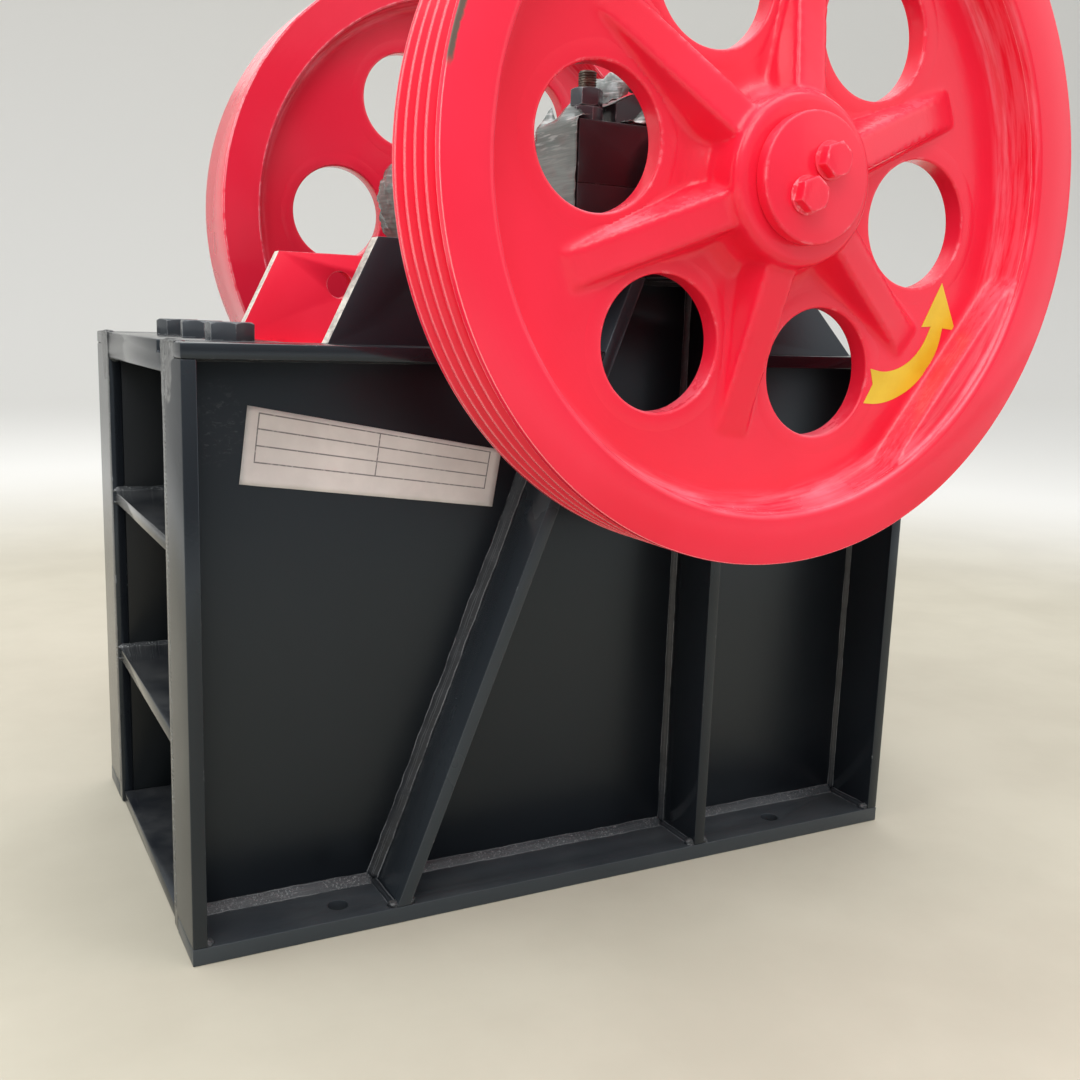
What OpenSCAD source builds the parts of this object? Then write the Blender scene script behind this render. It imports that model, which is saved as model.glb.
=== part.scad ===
// Small single-toggle jaw crusher: a welded plate frame with a ribbed drive side,
// an eccentric shaft in two capped bearing blocks, a grooved belt sheave and a plain flywheel.
// Millimetres. X runs from the fixed jaw end (-) to the toggle end (+), Z is up, and the
// belt sheave is on the right-hand side (-Y). The origin is on the ground under the shaft.

/* [Welded frame] */
// Length of the frame over its front and rear flanges
frame_l = 720; // [700:1:760]
// Distance from the front face to the shaft axis
front_to_shaft = 448; // [440:1:456]
// Clear width between the two side plates
inner_w = 284; // [270:1:300]
// Thickness of the side plates
side_t = 16; // [12:1:20]
// How far the flanges and ribs stand out from the side plates
flange_d = 60; // [52:1:66]
// Thickness of the flanges and ribs
flange_t = 12; // [10:1:14]
// Thickness of the base flanges
base_t = 14; // [12:1:18]
// Height of the top flanges above the ground
frame_h = 492; // [486:1:500]
// Thickness of the seat plates beside the side plates, under the bearing blocks
seat_t = 24; // [18:1:30]
// Diameter of the foundation bolt holes
base_hole_d = 18; // [14:1:22]
// Distance from the front face to the front bolt hole
base_hole_front = 128; // [110:1:150]
// Distance between the bolt holes along the frame
base_hole_pitch = 468; // [440:1:490]
// Distance from the front face to the foot of the diagonal rib
rib_foot = 174; // [165:1:185]
// How far the diagonal rib leans back for each millimetre of height
rib_lean = 0.389; // [0.37:0.001:0.4]
// Distance from the shaft axis to the upright rib
upright_x = 35; // [25:1:45]
// Distance from the front face to the foot of the slanted plate edge
slant_foot = 129; // [126:1:136]
// How far the slanted edge leans back over its height
slant_run = 43; // [35:1:50]
// Diameter of the lifting hole in each side plate
lift_hole_d = 28; // [20:1:32]
// Distance from the shaft axis to the lifting holes
lift_hole_x = 210; // [200:1:218]
// How far the lifting holes lie below the saddle edge
lift_hole_drop = 32; // [26:1:36]
// Distance from the shaft axis to the end of the level saddle edge at the rear
saddle_rear = 150; // [146:1:170]

/* [Front and rear ends] */
// Thickness of the plate that closes the top of each end
top_plate_t = 25; // [20:1:30]
// Thickness of the front and rear walls
wall_t = 25; // [20:1:28]
// Depth of the open cells at the front
front_cell = 75; // [70:1:80]
// Depth of the open cells at the rear
rear_cell = 54; // [48:1:58]
// Thickness of the shelves between the cells
shelf_t = 12; // [10:1:14]
// Height of the lower shelf
shelf_low = 158; // [150:1:166]
// Height of the upper shelf
shelf_high = 322; // [314:1:330]
// Width across the flats of the three bolts on the front
clamp_af = 36; // [30:1:41]
// Height of those bolt heads
clamp_head = 15; // [12:1:18]
// Distance between those bolts
clamp_pitch = 107; // [95:1:112]
// How far those bolts stand in front of the front wall
clamp_front = 13; // [8:1:30]

/* [Crushing chamber] */
// Width of the feed opening from jaw to jaw
gape = 150; // [145:1:155]
// Gap between the jaws at the discharge
discharge = 26; // [24:1:32]
// Thickness of each jaw plate over its teeth
jaw_t = 34; // [32:1:38]
// Depth of the teeth
tooth_d = 9; // [6:1:10]
// Number of teeth on each jaw plate
teeth = 10; // [8:1:12]
// How far the jaws' top edge lies below the top of the frame
jaw_drop = 12; // [6:1:18]
// Height of the jaws' bottom edge
jaw_bottom = 130; // [126:1:140]
// Thickness of the cheek plates
cheek_t = 16; // [14:1:18]

/* [Shaft and bearings] */
// Height of the shaft axis
shaft_h = 630; // [620:1:640]
// Height of the shaft axis above the seats of the bearing blocks
bearing_h = 50; // [47:1:56]
// Throw of the eccentric
throw_e = 6; // [5:1:7]
// Diameter of the shaft in its bearings
journal_d = 80; // [74:1:84]
// Diameter of the shaft in the wheel hubs
seat_d = 70; // [64:1:72]
// Diameter of the eccentric that carries the swing jaw
eccentric_d = 110; // [106:1:114]
// Length of each bearing block along the frame
block_l = 248; // [240:1:256]
// Height of the shoulder of each bearing cap above the shaft axis
shoulder_h = 51; // [46:1:54]
// Height of the crown of each bearing cap above the shaft axis
crown_h = 92; // [88:1:96]
// Diameter of the cap studs
stud_d = 16; // [14:1:18]

/* [Wheels] */
// Radius of both wheels
wheel_r = 305; // [300:1:308]
// Width of the rims
rim_w = 89; // [86:1:92]
// Distance from the middle of the crusher to the outer rim faces
rim_face = 354; // [352:1:358]
// Radial thickness of the rims at their outer face
rim_t = 42; // [38:1:44]
// Thickness of the wheel webs
web_t = 20; // [18:1:24]
// How deep the webs lie behind the outer rim faces
web_recess = 38; // [36:1:42]
// Radius of the hubs at their outer end
hub_r = 67; // [64:1:70]
// Number of round holes, and of ribs, in each wheel
hole_n = 6; // [5:1:6]
// Radius of the round holes
hole_r = 54; // [48:1:56]
// Distance from the axis to the middle of the round holes
hole_at = 162; // [158:1:164]
// Turn of the belt sheave at rest
sheave_turn = 172.7; // [0:0.1:360]
// Turn of the flywheel at rest
flywheel_turn = 178; // [0:0.1:360]
// Number of belt grooves in the sheave
grooves = 4; // [2:1:4]
// Distance between belt grooves
groove_pitch = 19.5; // [19:0.1:20]
// Depth of the belt grooves
groove_d = 13; // [10:1:14]
// Distance from the axis to the flat side of the balance weight
weight_at = 241; // [234:1:246]
// Thickness of the balance weight
weight_t = 29; // [20:1:34]
// Radius at which the ribs run out into the web
rib_end = 200; // [192:1:204]
// Width of the ribs along their ridge
rib_ridge = 28; // [20:1:30]
// Radius of the casting fillets at the hubs
hub_fillet = 20; // [10:1:24]
// Radius of the casting fillets inside the rims
rim_fillet = 12; // [6:1:14]
// Thickness of the shaft end caps
cap_t = 12.5; // [8:0.5:14]

/* [Toggle and tension rod] */
// Thickness of the toggle plate
toggle_t = 22; // [16:1:26]
// Distance from the shaft axis to the rear end of the toggle plate
toggle_rear_x = 118; // [110:1:126]
// Height of the rear end of the toggle plate
toggle_rear_z = 232; // [226:1:238]
// Height of the front end of the toggle plate
toggle_front_z = 196; // [190:1:200]
// Height of the adjusting block
adjust_h = 84; // [76:1:90]
// Depth of the adjusting block
adjust_d = 50; // [44:1:60]
// Thickness of the swing jaw's face
swing_t = 30; // [26:1:34]
// Diameter of the tension rod
rod_d = 20; // [16:1:22]
// Height of the tension rod
rod_h = 96; // [92:1:100]
// Distance from the shaft axis to the end of the tension rod
rod_end = 448; // [446:1:460]
// Outer diameter of the tension spring
spring_d = 58; // [50:1:62]
// Thickness of the tension spring's wire
spring_wire = 8; // [6:1:8]
// Active turns of the tension spring
spring_turns = 7; // [5:1:7]

/* [Hidden] */
$fn = 96;

steel_dark = "#25282f";
paint_red = "#f0304a";
steel_bare = "#8d9196";

// Clearances: a running fit, a seat, a side gap, a loose hole, and what a cut runs past a face
run = 0.05;
seat = 0.3;
side_gap = 5;
loose = 1;
past = 1;

// Frame planes
front_x = -front_to_shaft;
rear_x = front_x + frame_l;
plate_in = inner_w / 2;
plate_out = plate_in + side_t;
flange_out = plate_out + flange_d;
saddle_h = shaft_h - bearing_h;
seat_under = saddle_h - seat_t;
wall_x = front_x + front_cell;
rear_wall_x = rear_x - rear_cell;
shelf_inset = 2;
slant_x = front_x + slant_foot;
rib_x = front_x + rib_foot;
block_out = flange_out;

// Jaw geometry, in the side view
fixed_face = wall_x + wall_t + jaw_t;
swing_top = fixed_face + gape;
swing_bottom = fixed_face + discharge;
jaw_top = frame_h - jaw_drop;
jaw_h = jaw_top - jaw_bottom;
jaw_lean = atan((swing_top - swing_bottom) / jaw_h);
swing_l = jaw_h / cos(jaw_lean);
cheek_in = plate_in - cheek_t;
swing_half = cheek_in - side_gap;
body_half = swing_half - 2;
fixed_half = plate_in - past;

// Shaft stations, measured out from the middle
throw_z = shaft_h - throw_e;
hub_gap = 13;
hub_stand = 6;
hub_in = block_out + hub_gap;
hub_out = rim_face + hub_stand;
cap_out = hub_out + cap_t;
web_out = rim_face - web_recess;
web_in = web_out - web_t;
rim_in = rim_face - rim_w;
rim_bore = wheel_r - rim_t;
wheel_edge = 2;
hub_edge = 5;

module right_side() { children(); }
module left_side() { mirror([0, 1, 0]) children(); }

// A side-view outline given as [x, z] points, between two distances out on the right side
module slab(out_from, out_to, outline) {
    translate([0, -out_from, 0]) rotate([90, 0, 0]) linear_extrude(out_to - out_from) polygon(outline);
}

// A side-view outline across the whole width
module across(half, outline) {
    translate([0, half, 0]) rotate([90, 0, 0]) linear_extrude(2 * half) polygon(outline);
}

// A plain plate from its lowest to its highest corner
module plate(low, high) {
    translate(low) cube(high - low);
}

// A hexagon head standing on z = 0
module hex_head(af, height) {
    cylinder(h = height, d = af / cos(30), $fn = 6);
}

// Rounds an inside corner of a flat outline: the corner, and the signs of the way into the space
module corner_fillet(at, toward, radius) {
    far = at + radius * toward;
    near = at - past * toward;
    difference() {
        translate([min(near[0], far[0]), min(near[1], far[1])]) square(radius + past);
        translate(far) circle(r = radius);
    }
}

// Side plates, with the slanted front edge that rises to the bearing seat

module side_plate() {
    rear_corner = 20;
    color(steel_dark) difference() {
        slab(plate_in, plate_out, [
            [front_x + flange_t, 0], [rear_x - flange_t, 0],
            [rear_x - flange_t, frame_h - flange_t], [rear_x - flange_t - rear_corner, frame_h],
            [saddle_rear, saddle_h], [slant_x + slant_run, saddle_h],
            [slant_x, frame_h], [front_x + flange_t, frame_h]]);
        translate([-lift_hole_x, -plate_out - past, saddle_h - lift_hole_drop]) rotate([-90, 0, 0])
            cylinder(h = side_t + 2 * past, d = lift_hole_d);
    }
}

module base_flange() {
    hole_shift = 4;
    hole_out = plate_out + flange_d / 2 + hole_shift;
    color(steel_dark) difference() {
        plate([front_x, -flange_out, 0], [rear_x, -plate_out, base_t]);
        for (x = [base_hole_front, base_hole_front + base_hole_pitch])
            translate([front_x + x, -hole_out, -past])
                cylinder(h = base_t + 2 * past, d = base_hole_d);
    }
}

module end_flange(x) {
    color(steel_dark) {
        plate([x, -flange_out, base_t], [x + flange_t, -plate_out, frame_h - flange_t]);
        plate([x, -plate_out, 0], [x + flange_t, -plate_in, frame_h]);
    }
}

// Front face of the diagonal rib at a height
rib_foot_z = 18;
function rib_at(z) = rib_x + rib_lean * (z - rib_foot_z);
rib_run = flange_t / cos(atan(rib_lean));

module diagonal_rib() {
    color(steel_dark) slab(plate_out, flange_out, [
        [rib_at(base_t), base_t], [rib_at(base_t) + rib_run, base_t],
        [rib_at(seat_under) + rib_run, seat_under], [rib_at(seat_under), seat_under]]);
}

module upright_rib() {
    color(steel_dark) plate([upright_x, -flange_out, base_t], [upright_x + flange_t, -plate_out, seat_under]);
}

module top_flange() {
    under = frame_h - flange_t;
    color(steel_dark) {
        slab(plate_out, flange_out, [
            [front_x, under], [rib_at(under), under], [rib_at(frame_h), frame_h], [front_x, frame_h]]);
        plate([upright_x + flange_t, -flange_out, under], [rear_x, -plate_out, frame_h]);
    }
}

// Front end: a wall behind three open cells, closed above by a thick plate

module front_wall() {
    ledge_h = 26;
    color(steel_dark) {
        plate([wall_x, -plate_in, 0], [wall_x + wall_t, plate_in, frame_h - top_plate_t]);
        plate([wall_x + wall_t, -plate_in, jaw_bottom - ledge_h - past],
            [fixed_face - tooth_d, plate_in, jaw_bottom - past]);
    }
}

module front_top_plate() {
    notch_w = 18;
    notch_h = 10;
    color(steel_dark) difference() {
        plate([front_x, -plate_in, frame_h - top_plate_t], [wall_x + wall_t, plate_in, frame_h]);
        translate([front_x - past, -plate_in - past, frame_h - notch_h])
            cube([flange_t + past, notch_w + past, notch_h + past]);
    }
}

// Shelves across one end, between the side plates
module shelves(x, depth, heights) {
    color(steel_dark) for (z = heights) plate([x, -plate_in, z], [x + depth, plate_in, z + shelf_t]);
}

// Rear wall, with two guide bars along the side plates that the adjusting block slides on
module rear_wall() {
    bar_w = 30;
    bar_h = 20;
    color(steel_dark) {
        plate([rear_wall_x - wall_t, -plate_in, shelf_low],
            [rear_wall_x, plate_in, frame_h - top_plate_t]);
        for (y = [-plate_in, plate_in - bar_w])
            plate([socket_x, y, adjust_low - bar_h], [rear_wall_x - wall_t, y + bar_w, adjust_low]);
    }
}

module rear_top_plate() {
    color(steel_dark) plate([rear_wall_x - wall_t, -plate_in, frame_h - top_plate_t],
        [rear_x, plate_in, frame_h]);
}

// Low bar across the rear that the tension spring presses on
module spring_bar() {
    bar_t = 24;
    bar_h = 60;
    color(steel_dark) difference() {
        plate([rear_x - bar_t, -plate_in, rod_h - bar_h / 2], [rear_x, plate_in, rod_h + bar_h / 2]);
        translate([rear_x - bar_t - past, 0, rod_h]) rotate([0, 90, 0])
            cylinder(h = bar_t + 2 * past, d = rod_d + 2 * loose);
    }
}

module clamp_bolts() {
    color(steel_dark) for (i = [-1:1])
        translate([wall_x - clamp_front, i * clamp_pitch, frame_h]) hex_head(clamp_af, clamp_head);
}

// Crushing chamber

// A toothed plate of a given length and half width: its back on y = 0, teeth towards +y
module toothed_plate(length, half) {
    pitch = 2 * half / teeth;
    flat = 0.4;
    root = jaw_t - tooth_d;
    tooth = [[(1 - flat) / 2, jaw_t], [(1 + flat) / 2, jaw_t], [1, root]];
    linear_extrude(length) polygon(concat(
        [[-half, 0], [-half, root]],
        [for (i = [0:teeth - 1], p = tooth) [-half + (i + p[0]) * pitch, p[1]]],
        [[half, 0]]));
}

module fixed_jaw_plate() {
    color(steel_bare) translate([wall_x + wall_t, 0, jaw_bottom]) rotate([0, 0, -90])
        toothed_plate(jaw_h, fixed_half);
}

module movable_jaw_plate() {
    color(steel_bare) translate([swing_bottom, 0, jaw_bottom]) rotate([0, jaw_lean, 0])
        translate([jaw_t, 0, 0]) rotate([0, 0, 90]) toothed_plate(swing_l, swing_half);
}

// Cheek plate between the two jaw plates, level with their tops
module cheek_plate() {
    overlap = 55;
    foot_drop = 20;
    lean = tan(jaw_lean);
    foot = jaw_bottom - foot_drop;
    back_x = swing_bottom + overlap;
    cheek_x = fixed_face + seat;
    color(paint_red) slab(cheek_in, plate_in, [
        [cheek_x, foot], [back_x - foot_drop * lean, foot],
        [back_x + jaw_h * lean, jaw_top], [cheek_x, jaw_top]]);
}

// Bearings

module bearing_seat() {
    margin = 6;
    reach = block_l / 2 + margin;
    color(steel_dark) plate([-reach, -flange_out, seat_under], [reach, -plate_out, saddle_h]);
}

module bearing_hole(radius) {
    translate([0, -plate_in + past, shaft_h]) rotate([90, 0, 0])
        cylinder(h = block_out - plate_in + 2 * past, r = radius);
}

stud_inset = 24;
stud_shift = 6;
stud_depth = 30;
stud_x = block_l / 2 - stud_inset;
stud_out = (plate_in + block_out) / 2 + stud_shift;

module bearing_base() {
    color(steel_dark) difference() {
        slab(plate_in, block_out, [
            [-block_l / 2, saddle_h], [block_l / 2, saddle_h],
            [block_l / 2, shaft_h], [-block_l / 2, shaft_h]]);
        bearing_hole(journal_d / 2 + run);
        stud_holes();
    }
}

module stud_holes() {
    for (x = [-stud_x, stud_x]) translate([x, -stud_out, shaft_h - stud_depth])
        cylinder(h = stud_depth + shoulder_h + past, d = stud_d + loose);
}

// Cap: two shoulders with the studs, and an arched crown over the journal
module bearing_cap() {
    crown_half = 78;
    crown_r = 150;
    inset = 10;
    color(steel_dark) difference() {
        union() {
            slab(plate_in, block_out, [
                [-block_l / 2, shaft_h], [block_l / 2, shaft_h],
                [block_l / 2, shaft_h + shoulder_h], [-block_l / 2, shaft_h + shoulder_h]]);
            intersection() {
                slab(plate_in + inset, block_out - 2 * inset, [
                    [-crown_half, shaft_h + past], [crown_half, shaft_h + past],
                    [crown_half, shaft_h + crown_h + past], [-crown_half, shaft_h + crown_h + past]]);
                translate([0, -plate_in, shaft_h + crown_h - crown_r]) rotate([90, 0, 0])
                    cylinder(h = block_out - plate_in, r = crown_r);
            }
        }
        bearing_hole(journal_d / 2 + run);
        stud_holes();
    }
}

// Four studs, each with two nuts on the cap's shoulder
module bearing_studs() {
    nut_af = 24;
    nut_h = 13;
    stud_low = stud_depth - 10;
    stud_high = shoulder_h + 2 * nut_h + 12;
    color(steel_dark) for (x = [-stud_x, stud_x], side = [-1, 1])
        translate([x, side * stud_out, shaft_h]) {
            translate([0, 0, -stud_low]) cylinder(h = stud_low + stud_high, d = stud_d);
            translate([0, 0, shoulder_h]) hex_head(nut_af, 2 * nut_h);
        }
}

// Toggle, its adjusting block and shims, and the tension rod

toggle_half = toggle_t / 2;
toggle_gap = throw_e + side_gap;
toggle_seat_t = 12;
seat_half_h = 31;
jaw_back_x = swing_bottom + jaw_t / cos(jaw_lean) + seat;
beam_high = toggle_front_z + seat_half_h + 3;
beam_back = jaw_back_x + swing_t + (beam_high - jaw_bottom) * tan(jaw_lean) + loose;
toggle_seat_x = beam_back + toggle_seat_t;
toggle_rear = [toggle_rear_x, toggle_rear_z];
toggle_front = [toggle_seat_x + toggle_gap + toggle_half, toggle_front_z];
socket_lip = 12;
socket_x = toggle_rear_x - socket_lip;
adjust_low = toggle_rear_z - adjust_h / 2;
adjust_half = plate_in - seat;

// Block that the rear end of the toggle plate rocks in
module adjusting_block() {
    mouth = toggle_half + side_gap;
    color(steel_dark) difference() {
        plate([socket_x, -adjust_half, adjust_low],
            [socket_x + adjust_d, adjust_half, adjust_low + adjust_h]);
        translate([toggle_rear[0], -plate_in, toggle_rear[1]]) rotate([-90, 0, 0])
            cylinder(h = 2 * plate_in, r = toggle_half + seat);
        plate([socket_x - past, -plate_in, toggle_rear[1] - mouth],
            [toggle_rear[0], plate_in, toggle_rear[1] + mouth]);
    }
}

module shim_pack() {
    step = 12;
    color(steel_bare) plate([socket_x + adjust_d, -adjust_half, adjust_low],
        [rear_wall_x - wall_t, adjust_half, adjust_low + adjust_h - step]);
}

module toggle_plate() {
    reach = toggle_rear - toggle_front;
    half = body_half - side_gap;
    color(steel_bare) translate([toggle_front[0], half, toggle_front[1]])
        rotate([90, 0, 0]) rotate([0, 0, atan(reach[1] / reach[0])])
            linear_extrude(2 * half) {
                circle(r = toggle_half);
                translate([norm(reach), 0]) circle(r = toggle_half);
                translate([0, -toggle_half]) square([norm(reach), toggle_t]);
            }
}

pin_d = 18;
pin_x = beam_back - pin_d - 2 * loose;
eye_r = pin_d / 2 + throw_e + side_gap + loose;
eye_half = 10;
eye_rim = 10;
rod_tail = 50;
washer_x = rod_end - rod_tail;

// Rod with an eye round the swing jaw's pin in front, and a washer and nut behind
module tension_rod() {
    washer_t = 6;
    nut_af = 30;
    nut_h = 32;
    color(steel_bare) {
        difference() {
            union() {
                translate([pin_x, 0, rod_h]) rotate([0, 90, 0])
                    cylinder(h = rod_end - pin_x, d = rod_d);
                translate([pin_x, eye_half, rod_h]) rotate([90, 0, 0])
                    cylinder(h = 2 * eye_half, r = eye_r + eye_rim);
            }
            translate([pin_x, eye_half + past, rod_h]) rotate([90, 0, 0])
                cylinder(h = 2 * (eye_half + past), r = eye_r);
        }
        translate([washer_x, 0, rod_h]) rotate([0, 90, 0]) cylinder(h = washer_t, d = spring_d + 6);
        translate([washer_x + washer_t, 0, rod_h]) rotate([0, 90, 0]) hex_head(nut_af, nut_h);
    }
}

// Compression spring between the bar and the washer. Each half turn of the wire leans the other
// way, so the halves meet in line, at a small bead, and a level half turn closes each end.
module tension_spring() {
    from = rear_x + spring_wire / 2 + seat;
    to = washer_x - spring_wire / 2 - seat;
    coil_r = (spring_d - spring_wire) / 2;
    advance = (to - from) / spring_turns / 2;
    lean = atan(advance / (2 * coil_r));
    module half_turn(x, tilt, start, radius) {
        translate([x, 0, rod_h]) rotate([0, 0, tilt]) rotate([0, 90, 0]) rotate([0, 0, start])
            rotate_extrude(angle = 180) translate([radius, 0]) circle(d = spring_wire);
    }
    module bead(x, side) {
        translate([x, side * coil_r, rod_h]) sphere(d = spring_wire + 2 * run);
    }
    color(steel_bare) {
        half_turn(from, 0, 270, coil_r);
        bead(from, 1);
        for (i = [0:spring_turns - 1]) {
            half_turn(from + (2 * i + 0.5) * advance, lean, 90, norm([coil_r, advance / 2]));
            bead(from + (2 * i + 1) * advance, -1);
            half_turn(from + (2 * i + 1.5) * advance, -lean, 270, norm([coil_r, advance / 2]));
            bead(from + (2 * i + 2) * advance, 1);
        }
        half_turn(to, 0, 90, coil_r);
    }
}

// Shaft and wheels

module spindle(from, to, radius, up) {
    translate([0, -from, up]) rotate([90, 0, 0]) cylinder(h = to - from, r = radius);
}

module eccentric_shaft() {
    collar = cheek_in - 3;
    journal_out = block_out + 4;
    color(steel_bare) {
        spindle(-hub_out, hub_out, seat_d / 2, shaft_h);
        spindle(-journal_out, journal_out, journal_d / 2, shaft_h);
        spindle(-collar, collar, eccentric_d / 2, throw_z);
    }
}

// Half section of a wheel: radius, then distance out from the middle
module wheel_section() {
    bore = seat_d / 2 + run;
    e = wheel_edge;
    polygon([
        [bore, hub_in], [hub_r - e, hub_in], [hub_r, hub_in + e], [hub_r, web_in], [rim_bore, web_in],
        [rim_bore, rim_in + e], [rim_bore + e, rim_in], [wheel_r - e, rim_in], [wheel_r, rim_in + e],
        [wheel_r, rim_face - e], [wheel_r - e, rim_face], [rim_bore + e, rim_face],
        [rim_bore, rim_face - e], [rim_bore, web_out], [hub_r, web_out],
        [hub_r, hub_out - hub_edge], [hub_r - hub_edge, hub_out], [bore, hub_out]]);
    for (side = [[web_in, -1], [web_out, 1]]) {
        corner_fillet([hub_r, side[0]], [1, side[1]], hub_fillet);
        corner_fillet([rim_bore, side[0]], [-1, side[1]], rim_fillet);
    }
}

// Turns a half section round the shaft on the right side
module turned() {
    translate([0, 0, shaft_h]) rotate([90, 0, 0]) rotate_extrude() children();
}

// Places something flat on the web at a turn about the axis, out towards the right side
module on_wheel(turn, out) {
    translate([0, -out, shaft_h]) rotate([90, 0, 0]) rotate([0, 0, turn]) children();
}

// Rib: a bar that leans from the hub down to the web, wider towards its foot
module wheel_rib() {
    root = hub_r - 10;
    end_rise = 2;
    low = web_out - web_t / 2;
    high = hub_out - 8;
    half = rib_ridge / 2;
    flare = 0.3;
    depth = high - low + hub_r;
    fall = atan((high - web_out - end_rise) / (rib_end - root));
    on_wheel(0, 0) intersection() {
        translate([root, -wheel_r / 2, low]) cube([rib_end - root, wheel_r, high - low]);
        translate([root, 0, high]) rotate([0, fall, 0]) rotate([90, 0, 90])
            translate([0, 0, -hub_r]) linear_extrude(wheel_r) polygon([
                [-half, 0], [-half - flare * depth, -depth], [half + flare * depth, -depth], [half, 0]]);
    }
}

// Balance weight between the web's rim and a flat side, on the line of a rib
module balance_weight(turn) {
    half_steps = hole_n - 1;
    on_wheel(turn + half_steps * 180 / hole_n, web_out - web_t / 2) intersection() {
        cylinder(h = web_t / 2 + weight_t, r = rim_bore);
        translate([weight_at, -wheel_r, 0]) cube([wheel_r, 2 * wheel_r, wheel_r]);
    }
}

// The wheel casting common to both sides
module wheel(turn) {
    step = 360 / hole_n;
    difference() {
        union() {
            turned() wheel_section();
            for (i = [0:hole_n - 1])
                translate([0, 0, shaft_h]) rotate([0, -turn - step * (i + 0.5), 0])
                    translate([0, 0, -shaft_h]) wheel_rib();
            balance_weight(turn);
        }
        for (i = [0:hole_n - 1])
            on_wheel(turn + step * i, web_in - past) translate([hole_at, 0, 0])
                cylinder(h = rim_face - web_in + 2 * past, r = hole_r);
        spindle(hub_in - past, hub_out + past, seat_d / 2 + run, shaft_h);
    }
}

module belt_grooves() {
    top = 8;
    bottom = 3.5;
    middle = (rim_in + rim_face) / 2;
    turned() for (i = [0:grooves - 1]) {
        at = middle + (i - (grooves - 1) / 2) * groove_pitch;
        polygon([[wheel_r + past, at - top - past / 2], [wheel_r + past, at + top + past / 2],
            [wheel_r - groove_d, at + bottom], [wheel_r - groove_d, at - bottom]]);
    }
}

module belt_sheave() {
    color(paint_red) difference() {
        wheel(sheave_turn);
        belt_grooves();
    }
}

module flywheel() {
    color(paint_red) wheel(flywheel_turn);
}

// End cap on the hub, with two bolts side by side across its middle
module end_cap() {
    cap_r = 50;
    bolt_line = 53;
    bolt_at = 17;
    bolt_af = 24;
    bolt_head = 10;
    washer_d = 30;
    washer_t = 2;
    color(paint_red) {
        spindle(hub_out, cap_out, cap_r, shaft_h);
        for (side = [-1, 1]) on_wheel(bolt_line, cap_out) translate([side * bolt_at, 0, 0]) {
            cylinder(h = washer_t, d = washer_d);
            translate([0, 0, washer_t]) hex_head(bolt_af, bolt_head);
        }
    }
}

// Swing jaw

// Swing jaw casting: a head round the eccentric, a face for the jaw plate,
// ribs behind it, and a beam along the foot for the toggle seat
module pitman() {
    head_r = 88;
    face_top = throw_z - 40;
    neck = throw_z - 60;
    rib_half = 8;
    rib_top = [head_r - 20, throw_z - 30];
    beam_low = jaw_bottom + 14;
    lug_t = 12;
    lug_in = eye_half + throw_e + loose;
    lean = tan(jaw_lean);
    function back_at(z) = jaw_back_x + (z - jaw_bottom) * lean;
    color(steel_dark) difference() {
        union() {
            spindle(-body_half, body_half, head_r, throw_z);
            across(body_half, [
                [back_at(jaw_bottom), jaw_bottom], [back_at(jaw_bottom) + swing_t, jaw_bottom],
                [back_at(face_top) + swing_t, face_top], [back_at(neck), neck]]);
            across(body_half, [
                [back_at(beam_low), beam_low], [beam_back, beam_low],
                [beam_back, beam_high], [back_at(beam_high), beam_high]]);
            for (y = [-body_half + 2 * rib_half, rib_half, body_half])
                translate([0, y, 0]) rotate([90, 0, 0]) linear_extrude(2 * rib_half) polygon([
                    [back_at(beam_low), beam_low], [beam_back, beam_low], [beam_back, beam_high],
                    rib_top, [back_at(neck), neck]]);
            for (y = [-lug_in - lug_t, lug_in])
                plate([pin_x - pin_d, y, rod_h - pin_d], [pin_x + pin_d, y + lug_t, beam_low]);
            translate([pin_x, lug_in + lug_t, rod_h]) rotate([90, 0, 0])
                cylinder(h = 2 * (lug_in + lug_t), d = pin_d);
        }
        spindle(-body_half - past, body_half + past, eccentric_d / 2 + run, throw_z);
    }
}

// Hardened seat for the front end of the toggle plate
module toggle_seat() {
    half = body_half - side_gap;
    color(steel_bare) plate([beam_back, -half, toggle_front_z - seat_half_h],
        [toggle_seat_x, half, toggle_front_z + seat_half_h]);
}

right_side() side_plate();  // side_plate_right
left_side() side_plate();  // side_plate_left
right_side() base_flange();  // base_flange_right
left_side() base_flange();  // base_flange_left
right_side() end_flange(front_x);  // front_flange_right
left_side() end_flange(front_x);  // front_flange_left
right_side() end_flange(rear_x - flange_t);  // rear_flange_right
left_side() end_flange(rear_x - flange_t);  // rear_flange_left
right_side() top_flange();  // top_flange_right
left_side() top_flange();  // top_flange_left
right_side() diagonal_rib();  // diagonal_rib_right
left_side() diagonal_rib();  // diagonal_rib_left
right_side() upright_rib();  // upright_rib_right
left_side() upright_rib();  // upright_rib_left
front_wall();
front_top_plate();
shelves(front_x + shelf_inset, front_cell - shelf_inset, [0, shelf_low, shelf_high]);  // front_shelves
rear_wall();
rear_top_plate();
shelves(rear_wall_x, rear_cell - shelf_inset, [shelf_low, shelf_high]);  // rear_shelves
spring_bar();
clamp_bolts();
fixed_jaw_plate();
right_side() cheek_plate();  // cheek_plate_right
left_side() cheek_plate();  // cheek_plate_left
right_side() bearing_seat();  // bearing_seat_right
left_side() bearing_seat();  // bearing_seat_left
right_side() bearing_base();  // bearing_base_right
left_side() bearing_base();  // bearing_base_left
right_side() bearing_cap();  // bearing_cap_right
left_side() bearing_cap();  // bearing_cap_left
bearing_studs();
adjusting_block();
shim_pack();
toggle_plate();
tension_rod();
tension_spring();
eccentric_shaft();
right_side() belt_sheave();
left_side() flywheel();
right_side() end_cap();  // end_cap_right
left_side() end_cap();  // end_cap_left
pitman();
movable_jaw_plate();
toggle_seat();
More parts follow.
